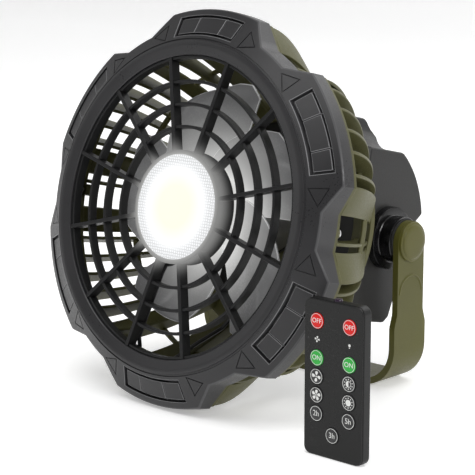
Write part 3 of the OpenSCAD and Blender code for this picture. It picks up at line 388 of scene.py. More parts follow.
def tint_between(tree, share, first, second):
    """A colour between two by a share. The first may come from another node."""
    node = node_with(tree, "ShaderNodeMix", data_type="RGBA")
    tree.links.new(share, node.inputs["Factor"])
    if isinstance(first, bpy.types.NodeSocket):
        tree.links.new(first, node.inputs["A"])
    else:
        node.inputs["A"].default_value = (*first, 1)
    node.inputs["B"].default_value = (*second, 1)
    return node.outputs["Result"]


def scaled(tint, factor):
    """A colour made darker or lighter."""
    return [min(1, c * factor) for c in tint]


def add_bumps(tree, height, strength):
    """Raises the surface by a height pattern, a fraction of a millimetre deep."""
    bumps = node_with(tree, "ShaderNodeBump", Strength=strength, Distance=bump_depth)
    tree.links.new(height, bumps.inputs["Height"])
    tree.links.new(bumps.outputs["Normal"], tree.nodes["Principled BSDF"].inputs["Normal"])


def moulded(name, tint, rough=0.5, grain=0.05, spread=0.1, shine=0.5):
    """A moulded plastic: a fine eroded grain, faint flow marks and slightly uneven gloss."""
    finish, tree, shader = new_finish(name, Specular_IOR_Level=shine)
    flow = noise(tree, 26, 5)
    tone = tint_between(tree, ramp(tree, flow, 0.3, 0.7), scaled(tint, 1 - spread),
                        scaled(tint, 1 + spread))
    tree.links.new(tone, shader.inputs["Base Color"])
    gloss = reckon(tree, "ADD", ramp(tree, flow, 0.3, 0.7, -0.05, 0.05),
                   ramp(tree, noise(tree, 900, 2), 0.3, 0.7, rough - 0.06, rough + 0.06))
    tree.links.new(gloss, shader.inputs["Roughness"])
    add_bumps(tree, noise(tree, 2200, 3), grain)
    return finish


black_plastic = moulded("black_plastic", (0.021, 0.0205, 0.022), rough=0.36, grain=0.2,
                        shine=0.4)

bezel_mesh = bmesh.new()
side_top = 0.9 * mm
bezel_line = [
    (opening_r, -duct_depth), (opening_r, -0.1 * mm), (opening_r + 0.4 * mm, 0.35 * mm),
    (opening_r + 2.4 * mm, 0.85 * mm), (opening_r + 4.8 * mm, 1.4 * mm),
    (crest_r - 0.4 * mm, rim_rise),
    (crest_r + groove[0] - 0.2 * mm, flange_z(crest_r + groove[0]) + 0.25 * mm),
    (crest_r + groove[0], flange_z(crest_r + groove[0]) - groove_drop),
    (crest_r + groove[1], flange_z(crest_r + groove[1]) - groove_drop),
    (stretch_r, flange_z(stretch_r)), (recess[0], flange_z(recess[0])),
    (recess[1], flange_z(recess[1])), (bezel_r, flange_z(bezel_r)),
    (bezel_r, -bezel_depth), (bezel_r - bezel_wall, -bezel_depth),
    (bezel_r - bezel_wall, flange_z(bezel_r) - bezel_wall),
    (opening_r + bezel_wall, flange_z(crest_r) - bezel_wall - 1 * mm),
    (opening_r + bezel_wall, -duct_depth)]
half_pitch = lobe_pitch / 2
bezel_clocks = (-half_pitch, notch_half - half_pitch, -lobe_half, *block_ends, lobe_half,
                half_pitch - notch_half, half_pitch)
bezel_steps = (2, 3, 2, 4, 5, 4, 2, 3, 2)
turn(bezel_mesh, draw_line(bezel_mesh, [polar(r, -half_pitch, z) for r, z in bezel_line],
                           closed=True), bezel_clocks, bezel_steps)
seal(bezel_mesh)
# Outside stretch_r the ring is drawn in to the lobed outline, and its upper side follows the
# slope of the flange.
for vert in bezel_mesh.verts:
    r = vert.co.to_2d().length
    if r > stretch_r + 0.1 * mm:
        clock = clock_of(vert.co)
        new_r = stretch_r + (r - stretch_r) * (
            outline_r(clock, bezel_r, notch_drop) - stretch_r) / (bezel_r - stretch_r)
        on_flange = vert.co.z > side_top - bezel_depth
        lift = flange_z(new_r) - flange_z(r) if on_flange else 0
        vert.co = polar(new_r, clock, vert.co.z + lift)
recess_faces = [f for f in bezel_mesh.faces if f.normal.z > 0.5
                and recess[0] < f.calc_center_median().to_2d().length < recess[1]
                and abs(clock_of(f.calc_center_median())) < recess_half]


def inset(faces, thickness, rise):
    """Draws faces in from their outline, then lifts or sinks them."""
    bmesh.ops.inset_region(bezel_mesh, faces=faces, thickness=thickness, depth=0,
                           use_even_offset=True)
    bmesh.ops.translate(bezel_mesh, vec=(0, 0, rise),
                        verts=list({v for f in faces for v in f.verts}))


inset(recess_faces, recess_slope, -recess_drop)
inset(recess_faces, recess_channel, 0)
for start, end in zip(block_ends, block_ends[1:]):
    inset([f for f in recess_faces if start < clock_of(f.calc_center_median()) < end],
          block_gap, block_rise)
copy_round(bezel_mesh, lobes)
seal(bezel_mesh)


def soften(mesh, width, segments, angle=25, where=lambda edge: True):
    """Rounds the mesh's edges that turn by more than an angle, and gives the new faces."""
    edges = [e for e in mesh.edges if e.is_manifold
             and e.calc_face_angle() > math.radians(angle) and where(e)]
    return bmesh.ops.bevel(mesh, geom=edges, offset=width, affect="EDGES", segments=segments,
                           profile=0.5, material=-1, clamp_overlap=True)["faces"]


def on_recess(edge):
    return edge.is_convex and all(
        recess[0] - 1 * mm < v.co.to_2d().length < recess[1] + 1 * mm
        and lobe_angle(clock_of(v.co)) < recess_half + 1 and v.co.z > -bezel_depth / 2
        for v in edge.verts)


def on_outline(edge):
    return edge.is_convex and all(
        v.co.to_2d().length > outline_r(clock_of(v.co), bezel_r, notch_drop) - 0.2 * mm
        and v.co.z > side_top - bezel_depth for v in edge.verts)


# The bevels round the recesses and along the outline are marked for a painted highlight: full on
# the recesses, a quarter on the outline.
painted_highlight_share = bezel_mesh.faces.layers.float.new("painted_highlight_share")
for face in soften(bezel_mesh, recess_edge, 2, angle=40, where=on_recess):
    face[painted_highlight_share] = 1
for face in soften(bezel_mesh, outline_edge, 3, angle=35, where=on_outline):
    face[painted_highlight_share] = 0.25


def tint_over(finish, share, tint):
    """Lays a second colour over a finish by a share."""
    tree = finish.node_tree
    tone = tree.nodes["Principled BSDF"].inputs["Base Color"]
    tree.links.new(tint_between(tree, share, tone.links[0].from_socket, tint), tone)
    return finish


def paint_edge_highlight(finish, tint):
    """Paints a highlight on a finish's edges as a lighter tone, where the mesh marks them."""
    marked = node_with(finish.node_tree, "ShaderNodeAttribute", attribute_name="painted_highlight_share")
    return tint_over(finish, marked.outputs["Fac"], tint)


# The bezel's black plastic, with a painted highlight on its marked edges.
bezel_plastic = paint_edge_highlight(moulded("bezel_plastic", (0.021, 0.0205, 0.022), rough=0.36,
                                     grain=0.2, shine=0.4), (0.17, 0.17, 0.175))

marks = bmesh.new()
for lobe in range(lobes):
    for side in (-1, 1):
        corners = [marks.verts.new(polar(crest_r + r, lobe * lobe_pitch + side * clock))
                   for r, clock in mark_corners]
        triangle = marks.faces.new(corners)
        triangle.normal_update()
        bmesh.ops.inset_region(marks, faces=[triangle], thickness=mark_w, use_boundary=True,
                               use_even_offset=True)
        marks.faces.remove(triangle)
for vert in marks.verts:
    vert.co.z = flange_z(vert.co.to_2d().length) - groove_drop
pull_faces(marks, marks.faces[:], (0, 0, mark_cut_h))
face_out(marks)
marks.transform(fan)

bezel = shape("bezel", bezel_mesh, fan, bezel_plastic)
carve(bezel, marks)
shade_evenly(bezel)
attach(bezel, "head")
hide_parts("front_bezel")

# Front grille ------------------------------------------------------------------------------
# Twelve spokes and three rings moulded in black ABS in one piece with the ring that holds
# the lamp. Its rim drops into the bezel's opening from behind.
spokes = 12
spoke_t = 2.4 * mm
spoke_d = 7 * mm
lamp_r = 33 * mm
lamp_wall = 2.6 * mm
lamp_depth = 14 * mm
lens_r = lamp_r - lamp_wall
ring_t = 1.8 * mm
ring_back = 1 * mm
ring_radii = (46.6 * mm, 59.8 * mm, 73 * mm)
painted_glow_reach = 11 * mm


def lathe(mesh, line, steps, closed=False):
    """Turns a line of radii and heights once about z."""
    points = [Vector((r, 0, z)) for r, z in line]
    bmesh.ops.spin(mesh, geom=draw_line(mesh, points, closed=closed), axis=(0, 0, 1),
                   cent=(0, 0, 0), angle=math.tau, steps=steps, use_merge=True)


def ring(mesh, inner, outer, back, front):
    """A ring of square section about z."""
    lathe(mesh, ((inner, back), (outer, back), (outer, front), (inner, front)), 96, closed=True)


def block(mesh, low, high):
    """A block between two opposite corners."""
    low, high = Vector(low), Vector(high)
    made = bmesh.ops.create_cube(mesh, size=1)["verts"]
    bmesh.ops.scale(mesh, vec=high - low, verts=made)
    bmesh.ops.translate(mesh, vec=(low + high) / 2, verts=made)
    return made


def out_from_axis(tree, behind=0):
    """Object coordinates from the middle of the opening, across the air stream, and their
    length. A distance along the stream counts as many times as behind says."""
    turned = node_with(tree, "ShaderNodeMapping", vector_type="TEXTURE",
                       Location=fan.translation, Rotation=fan.to_euler())
    place = tree.nodes.new("ShaderNodeTexCoord")
    tree.links.new(place.outputs["Object"], turned.inputs["Vector"])
    flat = node_with(tree, "ShaderNodeVectorMath", operation="MULTIPLY")
    flat.inputs[1].default_value = (1, 1, behind)
    tree.links.new(turned.outputs["Vector"], flat.inputs[0])
    radius = node_with(tree, "ShaderNodeVectorMath", operation="LENGTH")
    tree.links.new(flat.outputs["Vector"], radius.inputs[0])
    return flat.outputs["Vector"], radius.outputs["Value"]


def painted_lamp_glow(finish, start, end, strength, behind=0):
    """Paints the lamp's light onto a finish as a glow, strongest near the lamp and none from end
    on.
    """
    tree = finish.node_tree
    near = ramp(tree, out_from_axis(tree, behind)[1], start, end, 1, 0)
    light = reckon(tree, "MULTIPLY", reckon(tree, "POWER", near, 2.4), strength)
    shader = tree.nodes["Principled BSDF"]
    fill(shader, Emission_Color=(1, 1, 0.98, 1))
    tree.links.new(light, shader.inputs["Emission Strength"])
    return finish


grille_mesh = bmesh.new()
block(grille_mesh, (-spoke_t / 2, lamp_r - 1 * mm, -spoke_d),
      (spoke_t / 2, opening_r - 10 * hair, -5 * hair))
copy_round(grille_mesh, spokes, 180 / spokes)
for r in ring_radii:
    ring(grille_mesh, r - ring_t / 2, r + ring_t / 2, -spoke_d, -ring_back)
ring(grille_mesh, opening_r - ring_t, opening_r - 2 * hair, -spoke_d, -ring_back)
ring(grille_mesh, lens_r, lamp_r, -lamp_depth, 0)
seal(grille_mesh)
# The grille carries a painted glow of the lamp's light, strongest on the lamp's ring and the
# spokes' inner ends.
grille_plastic = painted_lamp_glow(moulded("grille_plastic", (0.008, 0.008, 0.0085), rough=0.4,
                                 grain=0.1, shine=0.3), lens_r, lamp_r + painted_glow_reach, 0.38,
                         behind=2)
grille = shape("grille", grille_mesh, fan, grille_plastic, rounding=0.45 * mm, segments=3)
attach(grille, "head")
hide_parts("front_grille")

# Lamp --------------------------------------------------------------------------------------
# A round light board under a clear polycarbonate lens, which has a band of small prisms near
# its edge. The lens snaps into the grille's ring, and a cup closes the ring from behind.
lens_t = 2 * mm
lens_dome = 1.2 * mm
dome_steps = 12
prism_band = (9 * mm, 4 * mm)
warm_zone = (12 * mm, 24 * mm)


def lit_lens():
    """The lens with the light on: white, with a warm middle and a dotted band of prisms."""
    finish, tree, shader = new_finish("lit_lens", Base_Color=(0.16, 0.16, 0.16, 1),
                                      Roughness=0.22)
    place, radius = out_from_axis(tree)
    prisms = node_with(tree, "ShaderNodeTexVoronoi", feature="DISTANCE_TO_EDGE", Scale=620,
                       Randomness=0.25)
    tree.links.new(place, prisms.inputs["Vector"])
    band = ramp(tree, radius, *(lens_r - edge for edge in prism_band))
    dim = node_with(tree, "ShaderNodeMix", data_type="FLOAT", A=1)
    tree.links.new(band, dim.inputs["Factor"])
    tree.links.new(ramp(tree, prisms.outputs["Distance"], 0.02, 0.3, 0.62), dim.inputs["B"])
    glow = reckon(tree, "MULTIPLY", dim.outputs["Result"],
                  ramp(tree, radius, lens_r - 8 * mm, lens_r, 1, 0.86))
    tree.links.new(reckon(tree, "MULTIPLY", glow, 0.93), shader.inputs["Emission Strength"])
    tree.links.new(tint_between(tree, ramp(tree, radius, *warm_zone), (1, 0.985, 0.74),
                                (0.97, 0.985, 1)), shader.inputs["Emission Color"])
    add_bumps(tree, reckon(tree, "MULTIPLY", band, prisms.outputs["Distance"]), 0.6)
    return finish


lens_mesh = bmesh.new()
dome = [(lens_r * (1 - i / dome_steps), lens_dome * math.sin(math.pi / 2 * i / dome_steps))
        for i in range(dome_steps + 1)]
lathe(lens_mesh, [(0, -lens_t), (lens_r - 2 * hair, -lens_t), *dome], 96)
seal(lens_mesh)
lens = shape("lens", lens_mesh, fan, lit_lens())
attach(lens, "head")
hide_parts("lamp_lens")


def dress(finish, *nodes):
    """Gives construction solids that stay in view their finish."""
    for name in nodes:
        for place in frame["nodes"][name].material_slots:
            place.material = finish


def polished(name, tint, rough=0.25, metal=1.0, scale=300, spread=0.12):
    """A metal or bright coating with fine uneven gloss."""
    finish, tree, shader = new_finish(name, Metallic=metal)
    drift = noise(tree, scale, 4)
    tree.links.new(tint_between(tree, drift, scaled(tint, 1 - spread),
                                scaled(tint, 1 + spread)), shader.inputs["Base Color"])
    tree.links.new(ramp(tree, drift, 0, 1, rough * 0.7, rough * 1.3),
                   shader.inputs["Roughness"])
    return finish


dress(polished("bright_reflector", (0.85, 0.86, 0.88), rough=0.12), "lamp_reflector")
dress(moulded("phosphor", (0.85, 0.68, 0.2), rough=0.55, spread=0.06), "led_board")
dress(moulded("receiver_window", (0.012, 0.008, 0.012), rough=0.12, grain=0), "ir_receiver")
dress(black_plastic, "lamp_cup", "lamp_lead", "motor_lead")

# Rear housing ------------------------------------------------------------------------------
# The olive ABS housing behind the bezel: a lobed strip, a comb of five curved fins on each
# lobe, a smooth panel behind each notch, a ring half way and a ring with six arms behind.
# The bezel's screws go through the strip, and the case is screwed to the arms.
strip_in = 1.2 * mm
strip_t = 4 * mm
strip_hole_r = 99.5 * mm
strip_back = bezel_depth + strip_t
fin_r = bezel_r - 1.6 * mm
fin_t = 2 * mm
fin_w = 13 * mm
fins = 5
fin_step = 6.6
fin_curve = 1.7
notch_r = bezel_r - notch_drop - 1 * mm
panel_half = half_pitch - (fins - 1) / 2 * fin_step - 3.4
panel_t = 2 * mm
tail_r = 70 * mm
tail_w = 9 * mm
tail_lip = 4 * mm
housing_depth = 92 * mm
spider_r = 30 * mm
spider_t = 4 * mm
spider_arm_w = 6 * mm
mid_ring = (56 * mm, 60 * mm)
mid_ring_r = (88.9 * mm, 90.9 * mm)
notch_fin_w = 10 * mm
notch_fin_turn = 3.14  # degrees
seat = 1 * mm
weld = 0.001 * mm
fin_steps = 22
arm_hole_r = 8 * mm
arm_sink = 2 * mm
pad_r = 4.4 * mm
boss_r = 3.6 * mm
boss_h = 8 * mm
tie_reach = notch_half + 0.8
case_screw_r = 48 * mm
case_screw_clocks = (60, 120, 240, 300)
screw_circle_r = 98.5 * mm


def hull_r(r, depth):
    """Radius of the housing at a depth, starting from radius r at the strip."""
    run = max(0, depth - strip_back) / (housing_depth - strip_back)
    return tail_r + (r - tail_r) * (1 - run ** fin_curve)


def add_to(mesh, other):
    """Moves a second mesh into the first."""
    data = mesh_data("part", other)
    mesh.from_mesh(data)
    bpy.data.meshes.remove(data)


def painted(name, tint, rough=0.42, grain=0.15):
    """A satin surface whose tone drifts slightly, with its edges lighter: partly wear, partly a
    painted highlight.
    """
    finish = moulded(name, tint, rough=rough, grain=grain, spread=0.07, shine=0.25)
    tree = finish.node_tree
    edges = tree.nodes.new("ShaderNodeNewGeometry").outputs["Pointiness"]
    return tint_over(finish, ramp(tree, edges, 0.52, 0.66, 0, 0.45), scaled(tint, 1.7))


olive_plastic = painted("olive_plastic", (0.075, 0.073, 0.026))

strip_mesh = bmesh.new()
turn(strip_mesh, draw_line(strip_mesh, [
    polar(r, -half_pitch, z) for r, z in ((strip_hole_r, -bezel_depth - 2 * hair),
                                          (bezel_r, -bezel_depth - 2 * hair),
                                          (bezel_r, -strip_back), (strip_hole_r, -strip_back))],
    closed=True), bezel_clocks, bezel_steps)
for vert in strip_mesh.verts:
    if vert.co.to_2d().length > strip_hole_r + 1 * mm:
        clock = clock_of(vert.co)
        vert.co = polar(outline_r(clock, bezel_r - strip_in, notch_drop), clock, vert.co.z)
copy_round(strip_mesh, lobes)
for inner, outer in ((tail_r - tail_w, tail_r + tail_lip), (arm_hole_r, spider_r)):
    ring(strip_mesh, inner, outer, -housing_depth, spider_t - housing_depth)
arm_mesh = bmesh.new()
block(arm_mesh, (-spider_arm_w / 2, spider_r - arm_sink, 3 * hair - housing_depth),
      (spider_arm_w / 2, tail_r - tail_w + arm_sink, spider_t - 3 * hair - housing_depth))
copy_round(arm_mesh, 6)
add_to(strip_mesh, arm_mesh)


def rod(mesh, place, radius, low, high, segments=48):
    """A round bar along z of a place, between two heights."""
    made = bmesh.ops.create_cone(mesh, cap_ends=True, segments=segments, radius1=radius,
                                 radius2=radius, depth=high - low)["verts"]
    bmesh.ops.translate(mesh, vec=(0, 0, (low + high) / 2), verts=made)
    bmesh.ops.transform(mesh, matrix=place, verts=made)


for clock in case_screw_clocks:
    rod(strip_mesh, Matrix.Translation(polar(case_screw_r, clock)), pad_r,
        hair - housing_depth, hair - housing_depth + spider_t, 32)
for lobe in range(lobes):
    rod(strip_mesh, Matrix.Translation(polar(screw_circle_r, (lobe + 0.5) * lobe_pitch)), boss_r,
        -bezel_depth - boss_h, -bezel_depth, 32)
seal(strip_mesh)
housing = shape("housing", strip_mesh, fan, olive_plastic, rounding=0.5 * mm)
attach(housing, "head")
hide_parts("rear_housing")


def ring_arc(half, radii, depths, steps):
    """An arc of a ring of square section, half degrees to each side of 12 o'clock."""
    mesh = bmesh.new()
    turn(mesh, draw_line(mesh, [polar(r, -half, -z) for r, z in (
        (radii[0], depths[0]), (radii[1], depths[0]), (radii[1], depths[1]),
        (radii[0], depths[1]))], closed=True), (-half, half), (steps,))
    bmesh.ops.holes_fill(mesh, edges=[e for e in mesh.edges if e.is_boundary])
    return mesh


fin_mesh = bmesh.new()
fin_back = housing_depth - spider_t
bmesh.ops.create_grid(fin_mesh, x_segments=1, y_segments=fin_steps, size=1)
for vert in fin_mesh.verts:
    depth = strip_back + (fin_back - strip_back) * (vert.co.y + 1) / 2
    outer = vert.co.x > 0
    vert.co = Vector((-fin_t / 2, hull_r(fin_r, depth) - (0 if outer else fin_w), -depth))
pull_faces(fin_mesh, fin_mesh.faces[:], (fin_t, 0, 0))
copy_on(fin_mesh, fins, fin_step)
comb_half = (fins - 1) / 2 * fin_step
bmesh.ops.rotate(fin_mesh, verts=fin_mesh.verts, matrix=about("Z", comb_half))
add_to(fin_mesh, ring_arc(comb_half, mid_ring_r, mid_ring, 20))
copy_round(fin_mesh, lobes)
seal(fin_mesh, weld)
fin_combs = shape("fin_combs", fin_mesh, fan, olive_plastic, rounding=0.6 * mm, segments=3)
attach(fin_combs, "head")
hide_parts("housing_fins")

panel_mesh = bmesh.new()
bmesh.ops.create_grid(panel_mesh, x_segments=8, y_segments=18, size=1)
for vert in panel_mesh.verts:
    rise, run = (vert.co.x + 1) / 2, (vert.co.y + 1) / 2
    depth = strip_back - seat + (housing_depth - strip_back) * run
    vert.co = polar(hull_r(notch_r + (fin_r - notch_r) * rise, depth),
                    notch_half + (panel_half - notch_half) * rise, -depth)
face_out(panel_mesh)
if panel_mesh.faces[0].normal.y < 0:
    bmesh.ops.reverse_faces(panel_mesh, faces=panel_mesh.faces)
bmesh.ops.solidify(panel_mesh, geom=panel_mesh.faces[:], thickness=panel_t)
bmesh.ops.mirror(panel_mesh, geom=whole(panel_mesh), axis="X", merge_dist=0)
turned_fin = bmesh.new()
fin_depths = [strip_back - seat + (housing_depth - strip_back) * i / fin_steps
              for i in range(fin_steps + 1)]
edge_line = draw_line(turned_fin, [
    Vector((-fin_t / 2, hull_r(notch_r, depth), -depth)) for depth in fin_depths])
pull_edges(turned_fin, edges_in(edge_line), (0, -notch_fin_w, 0))
pull_faces(turned_fin, turned_fin.faces[:], (fin_t, 0, 0))
bmesh.ops.rotate(turned_fin, verts=turned_fin.verts, matrix=about("Z", -notch_fin_turn))
add_to(panel_mesh, turned_fin)
notch_tie_r = hull_r(notch_r, (mid_ring[0] + mid_ring[1]) / 2)
add_to(panel_mesh, ring_arc(tie_reach, (notch_tie_r - panel_t, notch_tie_r), mid_ring, 8))
copy_round(panel_mesh, lobes, half_pitch)
seal(panel_mesh, weld)
panels = shape("notch_panels", panel_mesh, fan, olive_plastic, rounding=0.5 * mm)
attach(panels, "head")
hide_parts("rear_housing")

bright_steel = polished("bright_steel", (0.6, 0.6, 0.61), rough=0.3)
dress(bright_steel, "bezel_screws", "case_screws", "motor_screws")

# Fan rotor and motor -----------------------------------------------------------------------
# Five swept blades and a hub moulded in smoke-grey polycarbonate, held on the motor's shaft
# by a nut. The motor is a steel can with a black end cap, screwed to the housing's middle.
hub_r = 25 * mm
hub_h = 22 * mm
hub_front = rotor_depth - hub_h / 2
hub_wall = 2 * mm
collar_r = 6.5 * mm
shaft_r = 2.5 * mm
rotor_r = 78 * mm
blade_t = 1.8 * mm
blades = 5
blade_in = hub_r - 1 * mm
blade_edge = 0.5 * mm
pitch_root, pitch_tip = 36, 20
blade_arc_in, blade_arc_out = 96, 46
blade_start, blade_lean = -34, 27
blade_camber = 3 * mm
blade_share = 0.42
# How far the blade's outer edge lies within its full radius, in millimetres, from the blade's
# front edge at 0 to its back edge at 1.
tip_drop = ((0, 10), (0.25, 8), (0.5, 6), (0.625, 4), (0.75, 1), (0.875, 0), (1, 6))
painted_glow_zone = (26 * mm, 76 * mm)
# Smoke-grey plastic with a painted glow of the lamp's light near the hub and a painted highlight
# along its edges.
smoke = paint_edge_highlight(painted_lamp_glow(painted("smoke_plastic", (0.28, 0.28, 0.285), rough=0.24,
                                     grain=0.02), *painted_glow_zone, 0.6), (0.85, 0.85, 0.86))
fill(smoke.node_tree.nodes["Principled BSDF"], Coat_Weight=0.7, Coat_Roughness=0.06)


def drop_at(u):
    """The outer edge's drop at u across the blade's width."""
    for (left, low), (right, high) in zip(tip_drop, tip_drop[1:]):
        if u <= right:
            return (low + (high - low) * (u - left) / (right - left)) * mm
    return tip_drop[-1][1] * mm


blade_mesh = bmesh.new()
bmesh.ops.create_grid(blade_mesh, x_segments=24, y_segments=14, size=1)
for vert in blade_mesh.verts:
    u, v = (vert.co.x + 1) / 2, (vert.co.y + 1) / 2
    r = blade_in + (rotor_r - drop_at(u) - blade_in) * v
    arc = blade_arc_in + (blade_arc_out - blade_arc_in) * v
    clock = blade_start + blade_lean * v + (u - 0.5) * arc
    pitch = pitch_root + (pitch_tip - pitch_root) * v
    height = (0.5 - u) * min(hub_h - 4 * mm, 2 * r * math.sin(math.radians(arc / 2))
                             * math.tan(math.radians(pitch)) * blade_share)
    vert.co = polar(r, clock, height + blade_camber * math.sin(math.pi * u) - rotor_depth)
face_out(blade_mesh)
bmesh.ops.solidify(blade_mesh, geom=blade_mesh.faces[:], thickness=blade_t)
# The blades' rounded edges are marked for a painted highlight.
painted_highlight_share = blade_mesh.faces.layers.float.new("painted_highlight_share")
for face in soften(blade_mesh, blade_edge, 3, angle=50):
    face[painted_highlight_share] = 1
copy_round(blade_mesh, blades)
# The hub's section: an outer wall, a front plate and a collar round the shaft's bore.
hub_line = [
    (collar_r, 0), (hub_r - 1.2 * mm, 0), (hub_r - 0.35 * mm, -0.35 * mm), (hub_r, -1.2 * mm),
    (hub_r, -hub_h), (hub_r - hub_wall, -hub_h), (hub_r - hub_wall, -hub_wall),
    (collar_r, -hub_wall), (collar_r, 2 * mm - hub_h), (shaft_r, 2 * mm - hub_h), (shaft_r, 0)]
lathe(blade_mesh, [(r, z - hub_front) for r, z in hub_line], 72, closed=True)
seal(blade_mesh)
rotor = shape("rotor", blade_mesh, fan, smoke, rounding=0.4 * mm)
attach(rotor, "rotor")
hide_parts("fan_rotor")

dress(bright_steel, "motor_shaft", "rotor_nut", "motor_bearings")
dress(polished("plated_can", (0.5, 0.5, 0.5), rough=0.38, scale=900), "motor_case")
dress(moulded("motor_black", (0.02, 0.02, 0.022), rough=0.5), "motor_end_cap")
dress(polished("wound_copper", (0.5, 0.22, 0.09), rough=0.35, scale=1800), "motor_stator")
dress(polished("magnet_iron", (0.09, 0.09, 0.1), rough=0.55, metal=0.6), "motor_magnet")

# Battery case ------------------------------------------------------------------------------
# A dark grey ABS box screwed to the back of the housing. Its top carries a raised block whose
# flanks run out into the case, and its lower back slopes in and carries the controls.
case_hw = 60 * mm
case_front = 95 * mm
case_depth = 156 * mm
case_top = 52 * mm
case_bottom = 52 * mm
case_wall = 2.6 * mm
back_high = 128 * mm
back_peak_z = 17 * mm
back_bulge = 3 * mm
back_low = 138 * mm
case_chamfer = 4 * mm
panel_top = (150 * mm, 11 * mm)
hump_hw = 26 * mm
hump_h = 18 * mm
hump_ease = 4 * mm
hump_flare = 32 * mm
hump_top = case_top + hump_h
# The block's rounded top corner, in from its side and down from its top.
hump_corner = ((2.2 * mm, 0), (0.7 * mm, 0.6 * mm), (0, 2.2 * mm))
# The slopes at the block's back: a point on each, and the way it faces.
hump_slopes = (((0, 128 * mm, 70 * mm), (0, 1, 1)), ((0, 136 * mm, 62 * mm), (0, 18, 8)),
               ((-26 * mm, 140 * mm, 0), (-28, 34, 0)), ((26 * mm, 140 * mm, 0), (28, 34, 0)))
case_round = 1.6 * mm
pivot_depth = 123 * mm
bolt_r = 4 * mm
button_r = 7 * mm
move_gap = 0.4 * mm
button_z = -10 * mm
button_x = 26 * mm
port_z = -38 * mm
gauge = (18 * mm, 6 * mm)
cover = (40 * mm, 14 * mm, 2.4 * mm)
# Left end, right end and half height of the holes for the two sockets.
socket_holes = ((-14 * mm, -0.8 * mm, 2.8 * mm), (8 * mm, 17 * mm, 1.7 * mm))
hole_deep = 6 * mm
cut_proud = 4 * mm
cutter_reach = 5 * mm
power_hole = (-30 * mm, 3 * mm)
power_y = 112 * mm
panel_a = math.atan((panel_top[0] - back_low) / (panel_top[1] + case_bottom - case_chamfer))


def back_y(z):
    """Depth of the case's sloping lower back at height z."""
    return panel_top[0] - (panel_top[1] - z) * math.tan(panel_a)


def on_back(z):
    """Place on the lower back: z out of the surface, y up it, x to the right from behind."""
    return (head @ Matrix.Translation((0, back_y(z), z)) @ Matrix.Rotation(math.pi, 4, "Z")
            @ Matrix.Rotation(math.radians(90) + panel_a, 4, "X"))


def case_profile(t):
    """The case's side, as points of depth and height, drawn in by t."""
    curve = []
    for i in range(11):
        v = i / 10
        bulge = 4 * back_bulge * v * (1 - v)
        curve.append((back_high + (case_depth - back_high) * v + bulge - t,
                      case_top + (back_peak_z - case_top) * v + bulge - t * (1 - v)))
    return [(case_front, t - case_bottom), (case_front, case_top - t), *curve,
            (panel_top[0] - t, panel_top[1]), (back_low - t, case_chamfer - case_bottom),
            (back_low - case_chamfer - t, t - case_bottom)]


def across(mesh, half, profile):
    """A side profile drawn across the head, half to each side."""
    side = mesh.faces.new([mesh.verts.new((-half, y, z)) for y, z in profile])
    pull_faces(mesh, [side], (2 * half, 0, 0))
    face_out(mesh)


def slice_off(mesh, point, outward):
    """Cuts away what lies beyond a plane and closes the cut."""
    cut = bmesh.ops.bisect_plane(mesh, geom=whole(mesh), plane_co=point, plane_no=outward,
                                 clear_outer=True)
    bmesh.ops.holes_fill(mesh, edges=edges_in(cut["geom_cut"]))
    face_out(mesh)


case_mesh = bmesh.new()
across(case_mesh, case_hw, case_profile(0))
soften(case_mesh, case_round, 4)
case_plastic = moulded("case_plastic", (0.015, 0.0145, 0.014), rough=0.45, grain=0.2,
                       shine=0.35)
case = shape("case", case_mesh, head, case_plastic)

hump_mesh = bmesh.new()
flank = [(hump_hw + hump_flare * (1 - math.cos(a)),
          case_top + (hump_h - hump_ease) * (1 - math.sin(a)))
         for a in (math.radians(9 * i) for i in range(10))]
half = [*[(hump_hw - x, hump_top - z) for x, z in hump_corner], *flank,
        (case_hw - case_round, case_top - 0.3 * mm), (case_hw - case_round, case_top - 8 * mm)]
front = hump_mesh.faces.new([hump_mesh.verts.new((x, case_front + 2 * hair, z)) for x, z in
                             [*half, *[(-x, z) for x, z in reversed(half)]]])
pull_faces(hump_mesh, [front], (0, case_depth - case_front, 0))
face_out(hump_mesh)
for point, outward in hump_slopes:
    slice_off(hump_mesh, point, outward)
soften(hump_mesh, 0.9 * mm, 3, angle=28)
hump_mesh.transform(head)
carve(case, hump_mesh, "UNION")

cavity = bmesh.new()
across(cavity, case_hw - case_wall, [(y if y > case_front else case_front - 1 * mm, z)
                                     for y, z in case_profile(case_wall)])
cavity.transform(head)
carve(case, cavity)
button_places = {"power_button": head @ Matrix.Translation((0, power_y, hump_top)),
                 "fan_button": on_back(button_z) @ Matrix.Translation((button_x, 0, 0)),
                 "light_button": on_back(button_z) @ Matrix.Translation((-button_x, 0, 0))}
holes = bmesh.new()
for side in (-1, 1):
    rod(holes, head @ Matrix.Translation((side * case_hw, pivot_depth, 0))
        @ about("Y", 90, 4), bolt_r + 5 * hair, -cutter_reach, cutter_reach)
for name in ("light_button", "fan_button"):
    rod(holes, button_places[name], button_r + move_gap, -cutter_reach, cutter_reach)
rod(holes, button_places["power_button"], button_r + move_gap, *power_hole)
for z, left, right, half, deep in (
        (button_z, -gauge[0] / 2, gauge[0] / 2, gauge[1] / 2, hole_deep),
        (port_z, -cover[0] / 2 - move_gap, cover[0] / 2 + move_gap, cover[1] / 2 + move_gap,
         cover[2] / 2),
        *[(port_z, *hole, hole_deep) for hole in socket_holes]):
    made = block(holes, (left, -half, -deep), (right, half, cut_proud))
    bmesh.ops.transform(holes, matrix=on_back(z), verts=made)
face_out(holes)
carve(case, holes)
shade_evenly(case)
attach(case, "head")
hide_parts("battery_case")
dress(case_plastic, "rear_plate")

